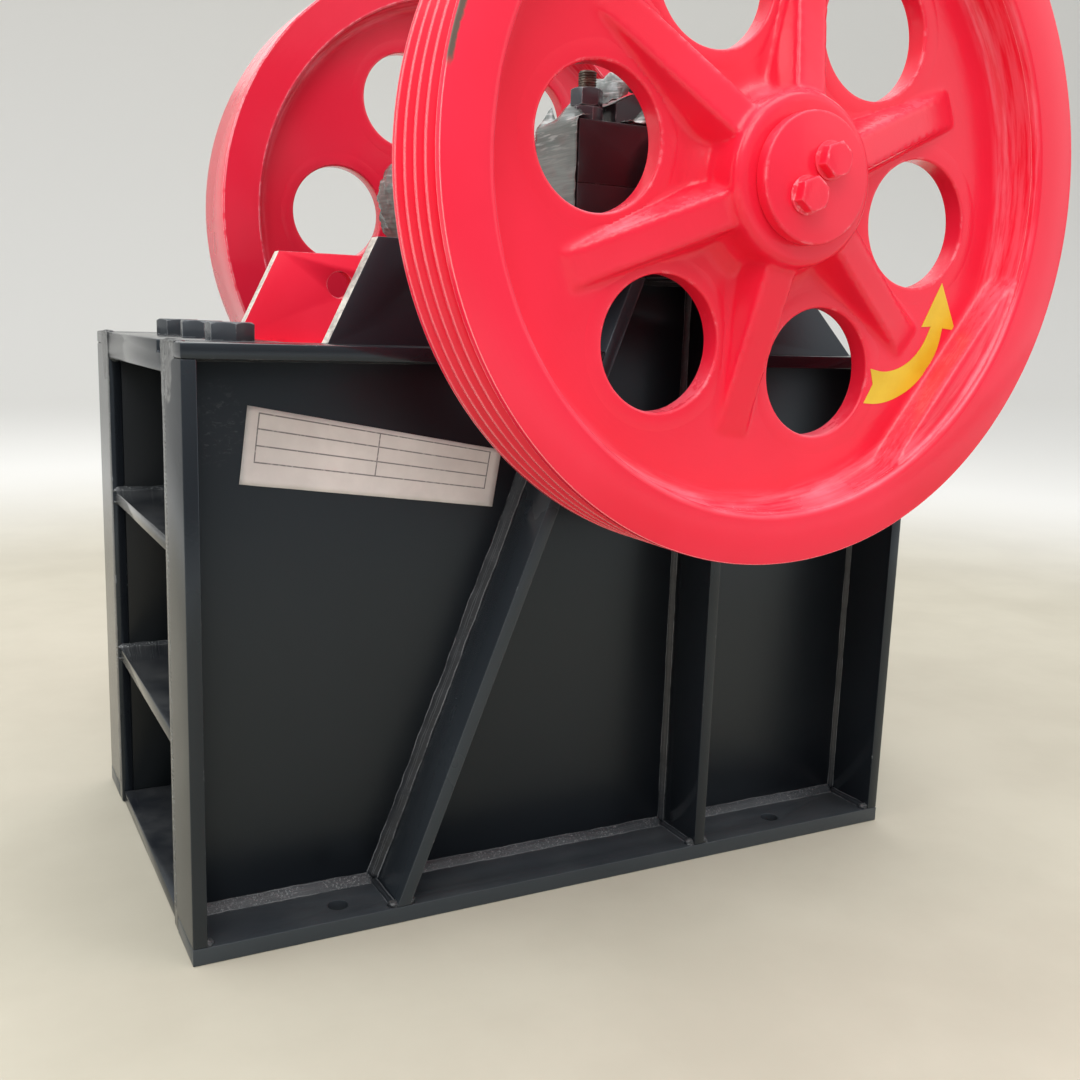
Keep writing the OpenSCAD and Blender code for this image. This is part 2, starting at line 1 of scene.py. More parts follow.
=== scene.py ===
"""Looks of a small jaw crusher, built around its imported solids.
Metres. +X is the toggle end, +Z is up and the belt sheave is on the right-hand side (-Y)."""
import math
import random

import bpy
import numpy as np
from mathutils import Matrix, Vector


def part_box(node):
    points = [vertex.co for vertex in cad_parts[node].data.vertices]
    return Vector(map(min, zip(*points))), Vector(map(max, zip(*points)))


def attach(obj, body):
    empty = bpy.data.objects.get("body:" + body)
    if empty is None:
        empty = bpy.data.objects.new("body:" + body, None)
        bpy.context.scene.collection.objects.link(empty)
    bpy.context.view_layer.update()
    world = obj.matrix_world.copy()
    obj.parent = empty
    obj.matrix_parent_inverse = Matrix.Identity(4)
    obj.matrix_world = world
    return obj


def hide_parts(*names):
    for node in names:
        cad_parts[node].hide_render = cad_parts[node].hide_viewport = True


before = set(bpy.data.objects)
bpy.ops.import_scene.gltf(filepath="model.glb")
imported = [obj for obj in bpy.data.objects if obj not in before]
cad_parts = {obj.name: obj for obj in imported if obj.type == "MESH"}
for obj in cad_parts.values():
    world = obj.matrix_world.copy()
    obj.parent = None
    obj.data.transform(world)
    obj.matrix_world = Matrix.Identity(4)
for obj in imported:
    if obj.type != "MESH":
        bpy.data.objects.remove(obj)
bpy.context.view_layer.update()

SHAFT_Z = 0.630
SIDES = {"right": -1, "left": 1}
SMOOTH_ANGLE = math.radians(32)

# ---------------------------------------------------------------- camera

scene = bpy.context.scene
camera = bpy.data.objects.new("camera", bpy.data.cameras.new("camera"))
scene.collection.objects.link(camera)
camera.location = (-0.61905, -1.10636, 0.51261)
camera.rotation_euler = [math.radians(a) for a in (79.694, -1.863, -27.601)]
camera.data.sensor_width = 36
camera.data.lens = 39.403
scene.camera = camera
scene.view_settings.view_transform = "Standard"


# ---------------------------------------------------------------- node graphs

def put(tree, kind, sockets=None, **settings):
    """Adds a node; sockets are values or other nodes' outputs, settings are its properties."""
    made = tree.nodes.new(kind)
    for name, value in settings.items():
        setattr(made, name, value)
    for name, value in (sockets or {}).items():
        socket = made.inputs[name]
        if isinstance(value, bpy.types.NodeSocket):
            tree.links.new(value, socket)
        else:
            socket.default_value = value
    return made


def math_node(tree, operation, *values, clamp=False):
    return put(tree, "ShaderNodeMath", dict(enumerate(values)), operation=operation,
               use_clamp=clamp).outputs[0]


def times(tree, a, b):
    return math_node(tree, "MULTIPLY", a, b)


def larger(tree, a, b):
    return math_node(tree, "MAXIMUM", a, b)


def times_plus(tree, a, b, c, clamp=False):
    return math_node(tree, "MULTIPLY_ADD", a, b, c, clamp=clamp)


def distance_from(tree, value, place):
    return math_node(tree, "ABSOLUTE", math_node(tree, "SUBTRACT", value, place))


def ramp(tree, value, low, high, to_low=0.0, to_high=1.0):
    """Smoothly maps a value from one range to another, and holds it at the ends."""
    return put(tree, "ShaderNodeMapRange", {
        "Value": value, "From Min": low, "From Max": high, "To Min": to_low, "To Max": to_high},
        interpolation_type="SMOOTHSTEP").outputs[0]


def blend_colour(tree, factor, a, b):
    """Mixes two colours, each given as (r, g, b) or as a node's output."""
    a, b = (c if isinstance(c, bpy.types.NodeSocket) else (*c, 1) for c in (a, b))
    return put(tree, "ShaderNodeMix", {0: factor, 6: a, 7: b}, data_type="RGBA").outputs[2]


def part_of(tree, vector, axis):
    """One of a vector's X, Y and Z."""
    return put(tree, "ShaderNodeSeparateXYZ", {0: vector}).outputs[axis]


def here(tree, scale=(1, 1, 1), turn=(0, 0, 0), shift=(0, 0, 0)):
    """Object coordinates, moved, turned and scaled."""
    place = put(tree, "ShaderNodeTexCoord").outputs["Object"]
    return put(tree, "ShaderNodeMapping", {"Vector": place, "Scale": scale, "Rotation": turn,
                                           "Location": shift}).outputs[0]


def noise(tree, vector, scale, detail=3.0, rough=0.5, distort=0.0):
    return put(tree, "ShaderNodeTexNoise", {"Vector": vector, "Scale": scale, "Detail": detail,
                                            "Roughness": rough, "Distortion": distort}).outputs[0]


def cloudy(tree, scale, detail, rough, low, high):
    """A mask of soft noise over the object, from 0 to 1."""
    return ramp(tree, noise(tree, here(tree), scale, detail, rough), low, high)


def new_group(name, inputs, outputs):
    """An empty shader group, its inputs given as {name: default} and its outputs as names."""
    group = bpy.data.node_groups.new(name, "ShaderNodeTree")
    for key, value in inputs.items():
        made = group.interface.new_socket(key, in_out="INPUT", socket_type="NodeSocketFloat")
        made.default_value = value
    for key in outputs:
        group.interface.new_socket(key, in_out="OUTPUT", socket_type="NodeSocketFloat")
    return group, put(group, "NodeGroupInput").outputs, put(group, "NodeGroupOutput").inputs


def use(tree, group, **values):
    made = tree.nodes.new("ShaderNodeGroup")
    made.node_tree = group
    for key, value in values.items():
        made.inputs[key.replace("_", " ")].default_value = value
    return made.outputs


def make_edge_wear():
    """A mask that is 1 along the edges of a shape, broken up by noise."""
    group, given, out = new_group("edge_wear", {"Radius": 0.002, "Scale": 60.0, "Cover": 0.5},
                                  ["Mask", "Edge"])
    rounded = put(group, "ShaderNodeBevel", {"Radius": given["Radius"]}, samples=4)
    flat = put(group, "ShaderNodeNewGeometry")
    along = put(group, "ShaderNodeVectorMath", {0: rounded.outputs[0], 1: flat.outputs["Normal"]},
                operation="DOT_PRODUCT").outputs["Value"]
    edge = ramp(group, along, 0.995, 0.90)
    spots = noise(group, here(group), given["Scale"], 4.0, 0.65)
    cover = math_node(group, "SUBTRACT", 1.0, given["Cover"])
    low = math_node(group, "SUBTRACT", cover, 0.08)
    group.links.new(times(group, edge, ramp(group, spots, low, cover)), out["Mask"])
    group.links.new(edge, out["Edge"])
    return group


def make_paint_skin():
    """Thick sprayed paint: a slow tone change, a fine skin height and rare light rubs."""
    group, given, out = new_group("paint_skin",
                                  {"Tone Scale": 5.0, "Skin Scale": 220.0, "Rub Cover": 0.3},
                                  ["Tone", "Height", "Rub"])
    at = here(group)
    tone = noise(group, at, given["Tone Scale"], 4.0, 0.55, 0.4)
    skin = noise(group, at, given["Skin Scale"], 2.0, 0.5)
    wave = noise(group, at, 38.0, 2.0, 0.5)
    height = times_plus(group, wave, 1.6, skin)
    streak = noise(group, here(group, (14, 14, 90), (0.5, 0.9, 0.3)), 3.0, 5.0, 0.7)
    patch = noise(group, at, 9.0, 3.0, 0.6)
    limit = math_node(group, "SUBTRACT", 1.0, given["Rub Cover"])
    rub = times(group, ramp(group, streak, 0.58, 0.72), ramp(group, patch, limit, 1.0))
    group.links.new(tone, out["Tone"])
    group.links.new(height, out["Height"])
    group.links.new(rub, out["Rub"])
    return group


def make_dust_and_top_light():
    """A mask on faces that look up, thicker where a slow noise is high: pale dust on the frame, and painted
    light from above where a red wheel's paint turns it pink.
    """
    group, given, out = new_group("dust", {"Amount": 0.5, "Scale": 12.0, "Up From": 0.35},
                                  ["Mask"])
    normal = put(group, "ShaderNodeNewGeometry").outputs["Normal"]
    up = ramp(group, part_of(group, normal, "Z"), given["Up From"], 0.95)
    cloud = noise(group, here(group), given["Scale"], 6.0, 0.65)
    mask = times(group, up, ramp(group, cloud, 0.30, 0.80))
    group.links.new(times(group, mask, given["Amount"]), out["Mask"])
    return group


EDGE_WEAR, PAINT_SKIN, DUST_AND_TOP_LIGHT = make_edge_wear(), make_paint_skin(), make_dust_and_top_light()


def new_material(name, colour, roughness, metallic=0.0, level=0.5, gloss_tint=(1, 1, 1)):
    made = bpy.data.materials.new(name)
    made.use_nodes = True
    tree = made.node_tree
    shader = tree.nodes["Principled BSDF"]
    for key, value in (("Base Color", (*colour, 1)), ("Roughness", roughness), ("Metallic", metallic),
                       ("Specular IOR Level", level), ("Specular Tint", (*gloss_tint, 1))):
        shader.inputs[key].default_value = value
    return made, tree, shader


def link(tree, shader, colour, roughness=None):
    """Gives the surface its colour and, where there is one, its roughness."""
    tree.links.new(colour, shader.inputs["Base Color"])
    if roughness is not None:
        tree.links.new(roughness, shader.inputs["Roughness"])


def bump(tree, shader, height, strength, distance):
    made = put(tree, "ShaderNodeBump", {"Height": height, "Strength": strength, "Distance": distance})
    tree.links.new(made.outputs[0], shader.inputs["Normal"])


def make_wheel_runs():
    """Runs in thick paint that follow the turn of a wheel, also used to streak the painted highlight in a
    wheel's bore.
    """
    group, given, out = new_group("wheel_runs", {"Fineness": 230.0, "Length": 5.0},
                                  ["Lines", "Radius"])
    at = put(group, "ShaderNodeSeparateXYZ", {0: here(group, shift=(0, 0, -SHAFT_Z))}).outputs
    flat = put(group, "ShaderNodeCombineXYZ", {"X": at["X"], "Z": at["Z"]}).outputs[0]
    radius = put(group, "ShaderNodeVectorMath", {0: flat}, operation="LENGTH").outputs["Value"]
    way = put(group, "ShaderNodeVectorMath", {0: flat}, operation="NORMALIZE").outputs[0]
    around = put(group, "ShaderNodeVectorMath", {0: way, "Scale": given["Length"]},
                 operation="SCALE").outputs[0]
    across = put(group, "ShaderNodeCombineXYZ",
                 {"Y": times(group, radius, given["Fineness"])}).outputs[0]
    place = put(group, "ShaderNodeVectorMath", {0: around, 1: across}, operation="ADD").outputs[0]
    lines = put(group, "ShaderNodeTexNoise", {
        "Vector": place, "W": times(group, at["Y"], given["Fineness"]), "Scale": 1.0,
        "Detail": 4.0, "Roughness": 0.6}, noise_dimensions="4D").outputs[0]
    group.links.new(lines, out["Lines"])
    group.links.new(radius, out["Radius"])
    return group


WHEEL_RUNS = make_wheel_runs()


def rubbed_rim(tree, radius):
    """Where the paint is rubbed off the sheave's front corner: a mask on the rim's outer edge."""
    at = put(tree, "ShaderNodeSeparateXYZ", {0: here(tree, shift=(0, 0, -SHAFT_Z))}).outputs
    turn = math_node(tree, "ARCTAN2", at["Z"], times(tree, at["X"], -1.0))
    ragged = noise(tree, here(tree), 120.0, 4.0, 0.65)
    edge = times_plus(tree, ragged, 0.005, radius)
    band = ramp(tree, edge, 0.3020, 0.3042)
    reach = times(tree, ramp(tree, turn, 0.150, 0.185), ramp(tree, turn, 0.52, 0.44))
    front = ramp(tree, at["Y"], -0.3520, -0.3532)
    return times(tree, times(tree, band, reach), front)


def painted(name, colour, deep, light, roughness, edge_wear_and_highlight_colour, edge_cover, edge_radius=0.0016,
            dust=0.35, skin=0.12, level=0.5, rub=0.35, local=None, down_to=None, runs=0.0, rubbed=False,
            dust_and_top_light_colour=(0.30, 0.30, 0.29), dust_up=0.35, gloss_tint=(1, 1, 1)):
    """Painted steel: tone change, skin, edge wear, rubs and dust, with every edge lightened a little as a
    painted highlight.
    On the red paints the pink edge colour and the pink dust colour are painted highlights. local adds one
    scuffed place, down_to the height that the spray ends at and the painted shade colour below it, runs the
    thick paint's runs round a wheel, which also streak a painted highlight into its bore."""
    made, tree, shader = new_material(name, colour, roughness, level=level, gloss_tint=gloss_tint)
    paint = use(tree, PAINT_SKIN, Rub_Cover=rub)
    edge = use(tree, EDGE_WEAR, Radius=edge_radius, Cover=edge_cover)
    dust_and_top_light_mask = use(tree, DUST_AND_TOP_LIGHT, Amount=dust, Up_From=dust_up)["Mask"]
    base = blend_colour(tree, ramp(tree, paint["Tone"], 0.3, 0.7), deep, colour)
    height = paint["Height"]
    if runs:
        round_wheel = use(tree, WHEEL_RUNS)
        height = times_plus(tree, round_wheel["Lines"], runs, height)
        # Painted highlight: the bore of a wheel is lightened in streaks along the runs, standing in for the
        # light that it catches.
        bore = times(tree, ramp(tree, round_wheel["Radius"], 0.2665, 0.2635),
                     ramp(tree, round_wheel["Radius"], 0.245, 0.258))
        streaks = times(tree, ramp(tree, round_wheel["Lines"], 0.36, 0.66), bore)
        base = blend_colour(tree, times(tree, streaks, 0.45), base, light)
        dust_and_top_light_mask = times(tree, dust_and_top_light_mask, ramp(tree, round_wheel["Lines"], 0.30, 0.62, 0.55, 1.0))
    # Painted highlight: every edge is lightened a little towards the light colour, apart from any wear.
    base = blend_colour(tree, times(tree, edge["Edge"], 0.30), base, light)
    worn_and_highlit = larger(tree, edge["Mask"], times(tree, paint["Rub"], 0.25))
    if local:
        place, reach = local
        at = put(tree, "ShaderNodeTexCoord").outputs["Object"]
        far = put(tree, "ShaderNodeVectorMath", {0: at, 1: place}, operation="DISTANCE").outputs["Value"]
        streaks = noise(tree, here(tree, (50, 50, 90), (0, 0.7, 0)), 3.2, 6.0, 0.72, 0.6)
        scuff = times(tree, ramp(tree, far, reach, reach * 0.4), ramp(tree, streaks, 0.52, 0.74))
        worn_and_highlit = larger(tree, worn_and_highlit, times(tree, scuff, 0.20))
    # Edge wear and rubs take the edge colour: worn grey on the frame paints, a pink painted highlight on
    # the red paints.
    base = blend_colour(tree, worn_and_highlit, base, edge_wear_and_highlight_colour)
    if rubbed:
        base = blend_colour(tree, rubbed_rim(tree, round_wheel["Radius"]), base, (0.13, 0.095, 0.075))
    # Below the height the colour turns to under; on the side plates' inner faces this is the painted shade
    # of the cells.
    if down_to:
        limit, under = down_to
        high = part_of(tree, here(tree), "Z")
        ragged = times_plus(tree, noise(tree, here(tree), 28.0, 4.0, 0.6), 0.03, high)
        base = blend_colour(tree, ramp(tree, ragged, limit + 0.008, limit + 0.022), under, base)
    # Faces that look up take the dust colour: pale dust on the frame, painted light from above where the
    # colour is pink.
    base = blend_colour(tree, dust_and_top_light_mask, base, dust_and_top_light_colour)
    gloss = times_plus(tree, paint["Tone"], 0.12, roughness - 0.06)
    gloss = times_plus(tree, worn_and_highlit, 0.18, gloss)
    link(tree, shader, base, times_plus(tree, dust_and_top_light_mask, 0.4, gloss, clamp=True))
    bump(tree, shader, height, skin, 0.0004)
    return made


VISIBLE = 0.8  # how much of a weld's flat map, read across, is its face


def weld_finish(name, dark, pale, toes, specks, roughness=0.3, ripple=0.5):
    """Painted weld metal, read across its own flat map: pale lines along both toes and down the middle,
    which are painted highlights, and its crests rubbed.
    """
    made, tree, shader = new_material(name, dark, roughness)
    across = part_of(tree, put(tree, "ShaderNodeTexCoord").outputs["UV"], "Y")
    off = math_node(tree, "SUBTRACT", distance_from(tree, across, VISIBLE / 2), 0.03)
    wavy = times_plus(tree, noise(tree, here(tree), 55.0, 4.0, 0.65), 0.16, off)
    broken = cloudy(tree, 30.0, 4.0, 0.65, 0.34, 0.56)
    # Painted highlights: pale lines along both toes and down the middle of the weld.
    toe = times(tree, ramp(tree, wavy, 0.335, 0.355), ramp(tree, wavy, 0.395, 0.375))
    middle = times(tree, ramp(tree, wavy, 0.080, 0.095), ramp(tree, wavy, 0.125, 0.110))
    toe = times(tree, broken, larger(tree, toe, times(tree, middle, 0.35)))
    crest = noise(tree, here(tree, (1, 1, 1), (0.4, 0.3, 0.8)), 520.0, 5.0, 0.75)
    spot = times(tree, ramp(tree, crest, 0.52, 0.64), cloudy(tree, 34.0, 3.0, 0.6, 0.30, 0.60))
    shown = larger(tree, times(tree, toe, toes), times(tree, spot, specks))
    base = blend_colour(tree, cloudy(tree, 18.0, 4.0, 0.6, 0.3, 0.7), [c * 0.7 for c in dark], dark)
    link(tree, shader, blend_colour(tree, shown, base, pale),
         ramp(tree, shown, 0.0, 1.0, roughness, roughness + 0.2))
    bump(tree, shader, crest, ripple, 0.0005)
    return made


def steel(name, colour, dark, roughness, grain=(1, 1, 1), metallic=1.0, rust=0.15):
    """Bare or oiled steel with a directional grain and a little brown bloom."""
    made, tree, shader = new_material(name, colour, roughness, metallic)
    lines = noise(tree, here(tree, grain), 90.0, 4.0, 0.6)
    base = blend_colour(tree, ramp(tree, lines, 0.3, 0.7), dark, colour)
    bloom = times(tree, cloudy(tree, 16.0, 5.0, 0.6, 0.52, 0.75), rust)
    link(tree, shader, blend_colour(tree, bloom, base, (0.16, 0.075, 0.035)),
         times_plus(tree, lines, 0.2, roughness - 0.1, clamp=True))
    bump(tree, shader, lines, 0.15, 0.0003)
    return made


DARK = (0.0112, 0.0134, 0.0172)
DARK_DEEP = (0.0082, 0.0098, 0.0128)
DARK_EDGE_HIGHLIGHT = (0.036, 0.040, 0.046)
# Painted shade: a darker copy of the frame paint for the shaded cells behind the front wall and the side
# plates' inner faces below the red.
RECESS_SHADE = (0.0036, 0.0052, 0.0064)
COOL = (0.80, 0.91, 1.0)
WORN_GREY = (0.26, 0.27, 0.28)
RED_HIGHLIGHT = (0.97, 0.20, 0.27)
RED_COAT = (0.93, 0.0215, 0.060), (0.86, 0.0155, 0.045), RED_HIGHLIGHT
# On the wheels the pink dust colour is painted light from above on faces that look up.
WHEEL_COAT = {"rub": 0.15, "runs": 2.0, "dust_and_top_light_colour": (0.97, 0.30, 0.38), "dust_up": 0.1}

frame_paint = painted("frame_paint", DARK, DARK_DEEP, DARK_EDGE_HIGHLIGHT, 0.15, WORN_GREY, 0.30, dust=0.16,
                      gloss_tint=COOL)
# Painted light: a lighter copy of the frame paint for the diagonal ribs, standing in for the light on their
# front faces.
lit_rib_paint = painted("lit_rib_paint", (0.0285, 0.0345, 0.0415), (0.0235, 0.0285, 0.0345), (0.17, 0.18, 0.19),
                    0.26, WORN_GREY, 0.28, dust=0.12, gloss_tint=COOL)
# Painted shade: the front wall inside the cells gets a darker copy of the frame paint.
recess_shade_paint = painted("recess_shade_paint", RECESS_SHADE, RECESS_SHADE, DARK, 0.35, WORN_GREY, 0.2, dust=0.1, level=0.12)
# Painted shade: a darker copy of the frame paint for the side plates, standing in for the shade under the
# top flange and the wheels.
shaded_plate_paint = painted("shaded_plate_paint", (0.0068, 0.0082, 0.0112), (0.0050, 0.0062, 0.0088), DARK_EDGE_HIGHLIGHT, 0.34,
                      WORN_GREY, 0.26, rub=0.2, local=((-0.412, -0.158, 0.428), 0.042), gloss_tint=COOL)
# Painted light: a lighter copy of the frame paint for the base flanges, standing in for the light and sky
# their tops reflect.
lit_base_paint = painted("lit_base_paint", (0.0390, 0.0450, 0.0515), (0.0320, 0.0375, 0.0435),
                     (0.075, 0.080, 0.085), 0.30, (0.30, 0.31, 0.31), 0.25, dust=0.10, gloss_tint=COOL)
# Here and in the other red paints, the pink edge colour is a painted highlight along edges and rubs.
# Red inside the side plates above the jaws, fading below into the cells' painted shade colour.
inner_paint = painted("inner_paint", *RED_COAT, 0.30, (0.90, 0.36, 0.40), 0.45, dust=0.10,
                      down_to=(0.482, RECESS_SHADE), level=0.35)
lump_paint = painted("lump_paint", (0.024, 0.028, 0.033), DARK_DEEP, (0.16, 0.165, 0.17), 0.30,
                     (0.34, 0.35, 0.35), 0.5, edge_radius=0.0012, skin=0.7, rub=0.6)
corner_paint = weld_finish("corner_paint", (0.028, 0.031, 0.034), (0.44, 0.45, 0.44), 0.0, 0.7, 0.17, 0.9)
# The base welds take the same lighter colour, painted light as on the base flanges.
lit_base_weld = weld_finish("lit_base_weld", (0.0370, 0.0425, 0.0490), (0.34, 0.35, 0.35), 0.35, 0.62, 0.34, 0.8)
rib_weld = weld_finish("rib_weld", (0.0135, 0.0162, 0.0205), (0.22, 0.23, 0.24), 0.85, 0.12, 0.36, 0.15)
strip_weld = weld_finish("strip_weld", (0.030, 0.034, 0.038), (0.38, 0.39, 0.385), 0.4, 0.8, 0.20, 0.8)
block_paint = painted("block_paint", (0.033, 0.029, 0.034), (0.025, 0.021, 0.025), (0.08, 0.05, 0.05),
                      0.26, WORN_GREY, 0.3, skin=0.2)
# The wheels' pink edge colour is a painted highlight along their edges and rubs.
red_paint = painted("red_paint", *RED_COAT, 0.20, (0.98, 0.36, 0.42), 0.40, edge_radius=0.003, dust=0.75,
                    skin=0.16, level=0.4, **WHEEL_COAT)
# Painted shade: the wheels' red made darker for the flywheel, which stands further back in shade.
shaded_flywheel_paint = painted("shaded_flywheel_paint", (0.80, 0.0205, 0.054), (0.74, 0.016, 0.042), RED_HIGHLIGHT, 0.18,
                         (0.98, 0.42, 0.47), 0.50, edge_radius=0.002, dust=0.6, skin=0.13, **WHEEL_COAT)
sheave_rim = painted("sheave_rim_paint", *RED_COAT, 0.17, (0.98, 0.50, 0.52), 0.66, edge_radius=0.0012,
                     dust=0.6, skin=0.10, level=0.4, rubbed=True, **WHEEL_COAT)
red_plate = painted("red_plate_paint", *RED_COAT, 0.32, (0.92, 0.42, 0.44), 0.5, dust=0.10, skin=0.14)
fastener = painted("fastener_finish", (0.052, 0.059, 0.068), (0.036, 0.042, 0.049), (0.17, 0.18, 0.19),
                   0.24, (0.34, 0.36, 0.37), 0.5, edge_radius=0.0011, skin=0.3, dust=0.2)
thread_steel = steel("thread_steel", (0.16, 0.13, 0.10), (0.05, 0.04, 0.033), 0.42, (1, 1, 6), 0.8, 0.5)
jaw_steel = steel("jaw_steel", (0.19, 0.19, 0.195), (0.10, 0.10, 0.105), 0.5, (2, 2, 0.5), 0.6, 0.35)
bare_steel = steel("bare_steel", (0.42, 0.43, 0.44), (0.25, 0.255, 0.26), 0.34, (0.3, 3, 3), 1.0, 0.2)


def make_cut_edge():
    """Torch-cut plate edge, pale and rubbed, with fine drag lines across the thickness."""
    made, tree, shader = new_material("cut_edge", (0.5, 0.46, 0.40), 0.42)
    lines = noise(tree, here(tree, (1, 0.12, 1)), 420.0, 2.0, 0.5)
    cloud = noise(tree, here(tree), 34.0, 5.0, 0.65)
    base = blend_colour(tree, ramp(tree, cloud, 0.32, 0.6), (0.24, 0.205, 0.19), (0.64, 0.60, 0.52))
    drag = times(tree, ramp(tree, lines, 0.5, 0.3), 0.35)
    link(tree, shader, blend_colour(tree, drag, base, (0.16, 0.13, 0.12)),
         ramp(tree, cloud, 0.3, 0.7, 0.35, 0.55))
    bump(tree, shader, lines, 0.7, 0.0006)
    return made


def make_film():
    """Thin plastic film pulled tight: smooth grey green with fine stretch lines that lighten its tone,
    partly its own texture and partly painted highlights, and painted highlights in slanted lines towards
    its top edge.
    """
    made, tree, shader = new_material("wrap_film", (0.12, 0.13, 0.125), 0.24, level=0.8)
    slow = noise(tree, here(tree, (1, 1, 2.2), (0.5, 0.3, 0.1)), 14.0, 2.0, 0.5, 0.3)
    drawn_lines_and_highlights = ramp(tree, noise(tree, here(tree, (7, 7, 190), (0.10, 0, 0.1)), 2.0, 2.0, 0.6), 0.30, 0.70)
    slanted = ramp(tree, noise(tree, here(tree, (16, 16, 120), (-0.7, 0.2, 0)), 2.0, 2.0, 0.6),
                   0.52, 0.70)
    high = part_of(tree, here(tree), "Z")
    # Painted highlight: slanted light lines towards the top edge of the film.
    top = times(tree, slanted, ramp(tree, high, 0.650, 0.685, 0.08, 0.85))
    # The fine lines lighten the tone: partly the film's own texture, partly painted highlights on its
    # wrinkles.
    tone = times_plus(tree, drawn_lines_and_highlights, 0.45, ramp(tree, slow, 0.3, 0.7, 0.0, 0.55))
    base = blend_colour(tree, tone, (0.072, 0.088, 0.081), (0.165, 0.188, 0.174))
    link(tree, shader, blend_colour(tree, top, base, (0.50, 0.52, 0.50)))
    bump(tree, shader, drawn_lines_and_highlights, 0.22, 0.0006)
    return made


def make_paper():
    """Printed form with ruled lines and no words, read from the sheet's own flat map."""
    made, tree, shader = new_material("form_paper", (0.74, 0.71, 0.69), 0.55)
    flat = put(tree, "ShaderNodeTexCoord").outputs["UV"]
    split = put(tree, "ShaderNodeSeparateXYZ", {0: flat}).outputs
    lines = None
    for axis, places, half, other, middle, near, far in (
            ("Y", (0.30, 0.515, 0.73, 0.93), 0.0085, "X", 0.5, 0.455, 0.458),
            ("X", (0.045, 0.955, 0.50), 0.0022, "Y", 0.615, 0.318, 0.322)):
        for place in places:
            line = ramp(tree, distance_from(tree, split[axis], place), half * 1.5, half * 0.6)
            inside = ramp(tree, distance_from(tree, split[other], middle), far, near)
            line = times(tree, line, inside)
            lines = line if lines is None else larger(tree, lines, line)
    paper = blend_colour(tree, cloudy(tree, 24.0, 5.0, 0.6, 0.3, 0.75), (0.72, 0.685, 0.665),
                         (0.84, 0.80, 0.775))
    broken = ramp(tree, noise(tree, here(tree), 260.0, 2.0), 0.25, 0.5, 0.45, 0.85)
    link(tree, shader, blend_colour(tree, times(tree, lines, broken), paper, (0.10, 0.095, 0.10)))
    bump(tree, shader, noise(tree, here(tree), 60.0, 4.0), 0.2, 0.0008)
    return made


def make_yellow():
    made, tree, shader = new_material("arrow_paint", (0.86, 0.52, 0.01), 0.34)
    link(tree, shader, blend_colour(tree, cloudy(tree, 20.0, 4.0, 0.6, 0.3, 0.7),
                                    (0.74, 0.49, 0.012), (0.84, 0.60, 0.03)))
    bump(tree, shader, noise(tree, here(tree), 150.0, 2.0), 0.12, 0.0004)
    return made


cut_edge, film, paper, arrow_paint = make_cut_edge(), make_film(), make_paper(), make_yellow()


# ---------------------------------------------------------------- mesh helpers

def only(*objects):
    """Selects just these objects, the first one active."""
    bpy.ops.object.select_all(action="DESELECT")
    for item in objects:
        item.select_set(True)
    bpy.context.view_layer.objects.active = objects[0]


def edit(obj, *steps):
    """Runs edit-mode operators on all of one object's mesh."""
    only(obj)
    bpy.ops.object.mode_set(mode="EDIT")
    bpy.ops.mesh.select_all(action="SELECT")
    for step in steps:
        step()
    bpy.ops.object.mode_set(mode="OBJECT")


def apply(obj, kind, **settings):
    """Adds a modifier and applies it."""
    only(obj)
    made = obj.modifiers.new(kind, kind)
    for name, value in settings.items():
        setattr(made, name, value)
    bpy.ops.object.modifier_apply(modifier=made.name)
    return obj


def bevel(obj, width, segments, angle, **settings):
    """Breaks the edges that are sharper than the angle."""
    return apply(obj, "BEVEL", width=width, segments=segments, limit_method="ANGLE",
                 angle_limit=math.radians(angle), **settings)


def points(obj):
    found = np.empty(len(obj.data.vertices) * 3, np.float32)
    obj.data.vertices.foreach_get("co", found)
    return found.reshape(-1, 3)


def set_points(obj, found):
    obj.data.vertices.foreach_set("co", np.ascontiguousarray(found, np.float32).ravel())
    obj.data.update()


def smooth(obj, angle=SMOOTH_ANGLE):
    only(obj)
    bpy.ops.object.shade_smooth_by_angle(angle=angle)


def place(obj):
    """Puts the object's place into its mesh."""
    only(obj)
    bpy.ops.object.transform_apply(location=True, rotation=True, scale=True)
    return obj


def cylinder(sides, radius, depth):
    """A cylinder that stands on z = 0."""
    bpy.ops.mesh.primitive_cylinder_add(vertices=sides, radius=radius, depth=depth,
                                        location=(0, 0, depth / 2))
    return place(bpy.context.object)


def grid(across, up):
    """A grid of points, and how far each lies across it and up it, from 0 to 1."""
    bpy.ops.mesh.primitive_grid_add(x_subdivisions=across, y_subdivisions=up, size=1)
    flat = points(bpy.context.object) + 0.5
    return bpy.context.object, flat[:, 0], flat[:, 1]


def outward(obj):
    edit(obj, lambda: bpy.ops.mesh.remove_doubles(threshold=1e-6),
         lambda: bpy.ops.mesh.normals_make_consistent(inside=False))
    return obj


def dress(obj, name, material, body, replaces=()):
    """Names a finished piece, gives it its finish and its body."""
    obj.name = obj.data.name = name
    obj.data.materials.clear()
    obj.data.materials.append(material)
    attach(obj, body)
    if replaces:
        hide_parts(*replaces)
    return obj


def copied(node):
    """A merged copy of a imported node, with its flat faces whole again."""
    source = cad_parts[node]
    obj = bpy.data.objects.new(node + "_copy", source.data.copy())
    scene.collection.objects.link(obj)
    obj.data.materials.clear()
    only(obj)
    if obj.data.has_custom_normals:
        bpy.ops.mesh.customdata_custom_splitnormals_clear()
    edit(obj, lambda: bpy.ops.mesh.remove_doubles(threshold=2e-6))
    return obj


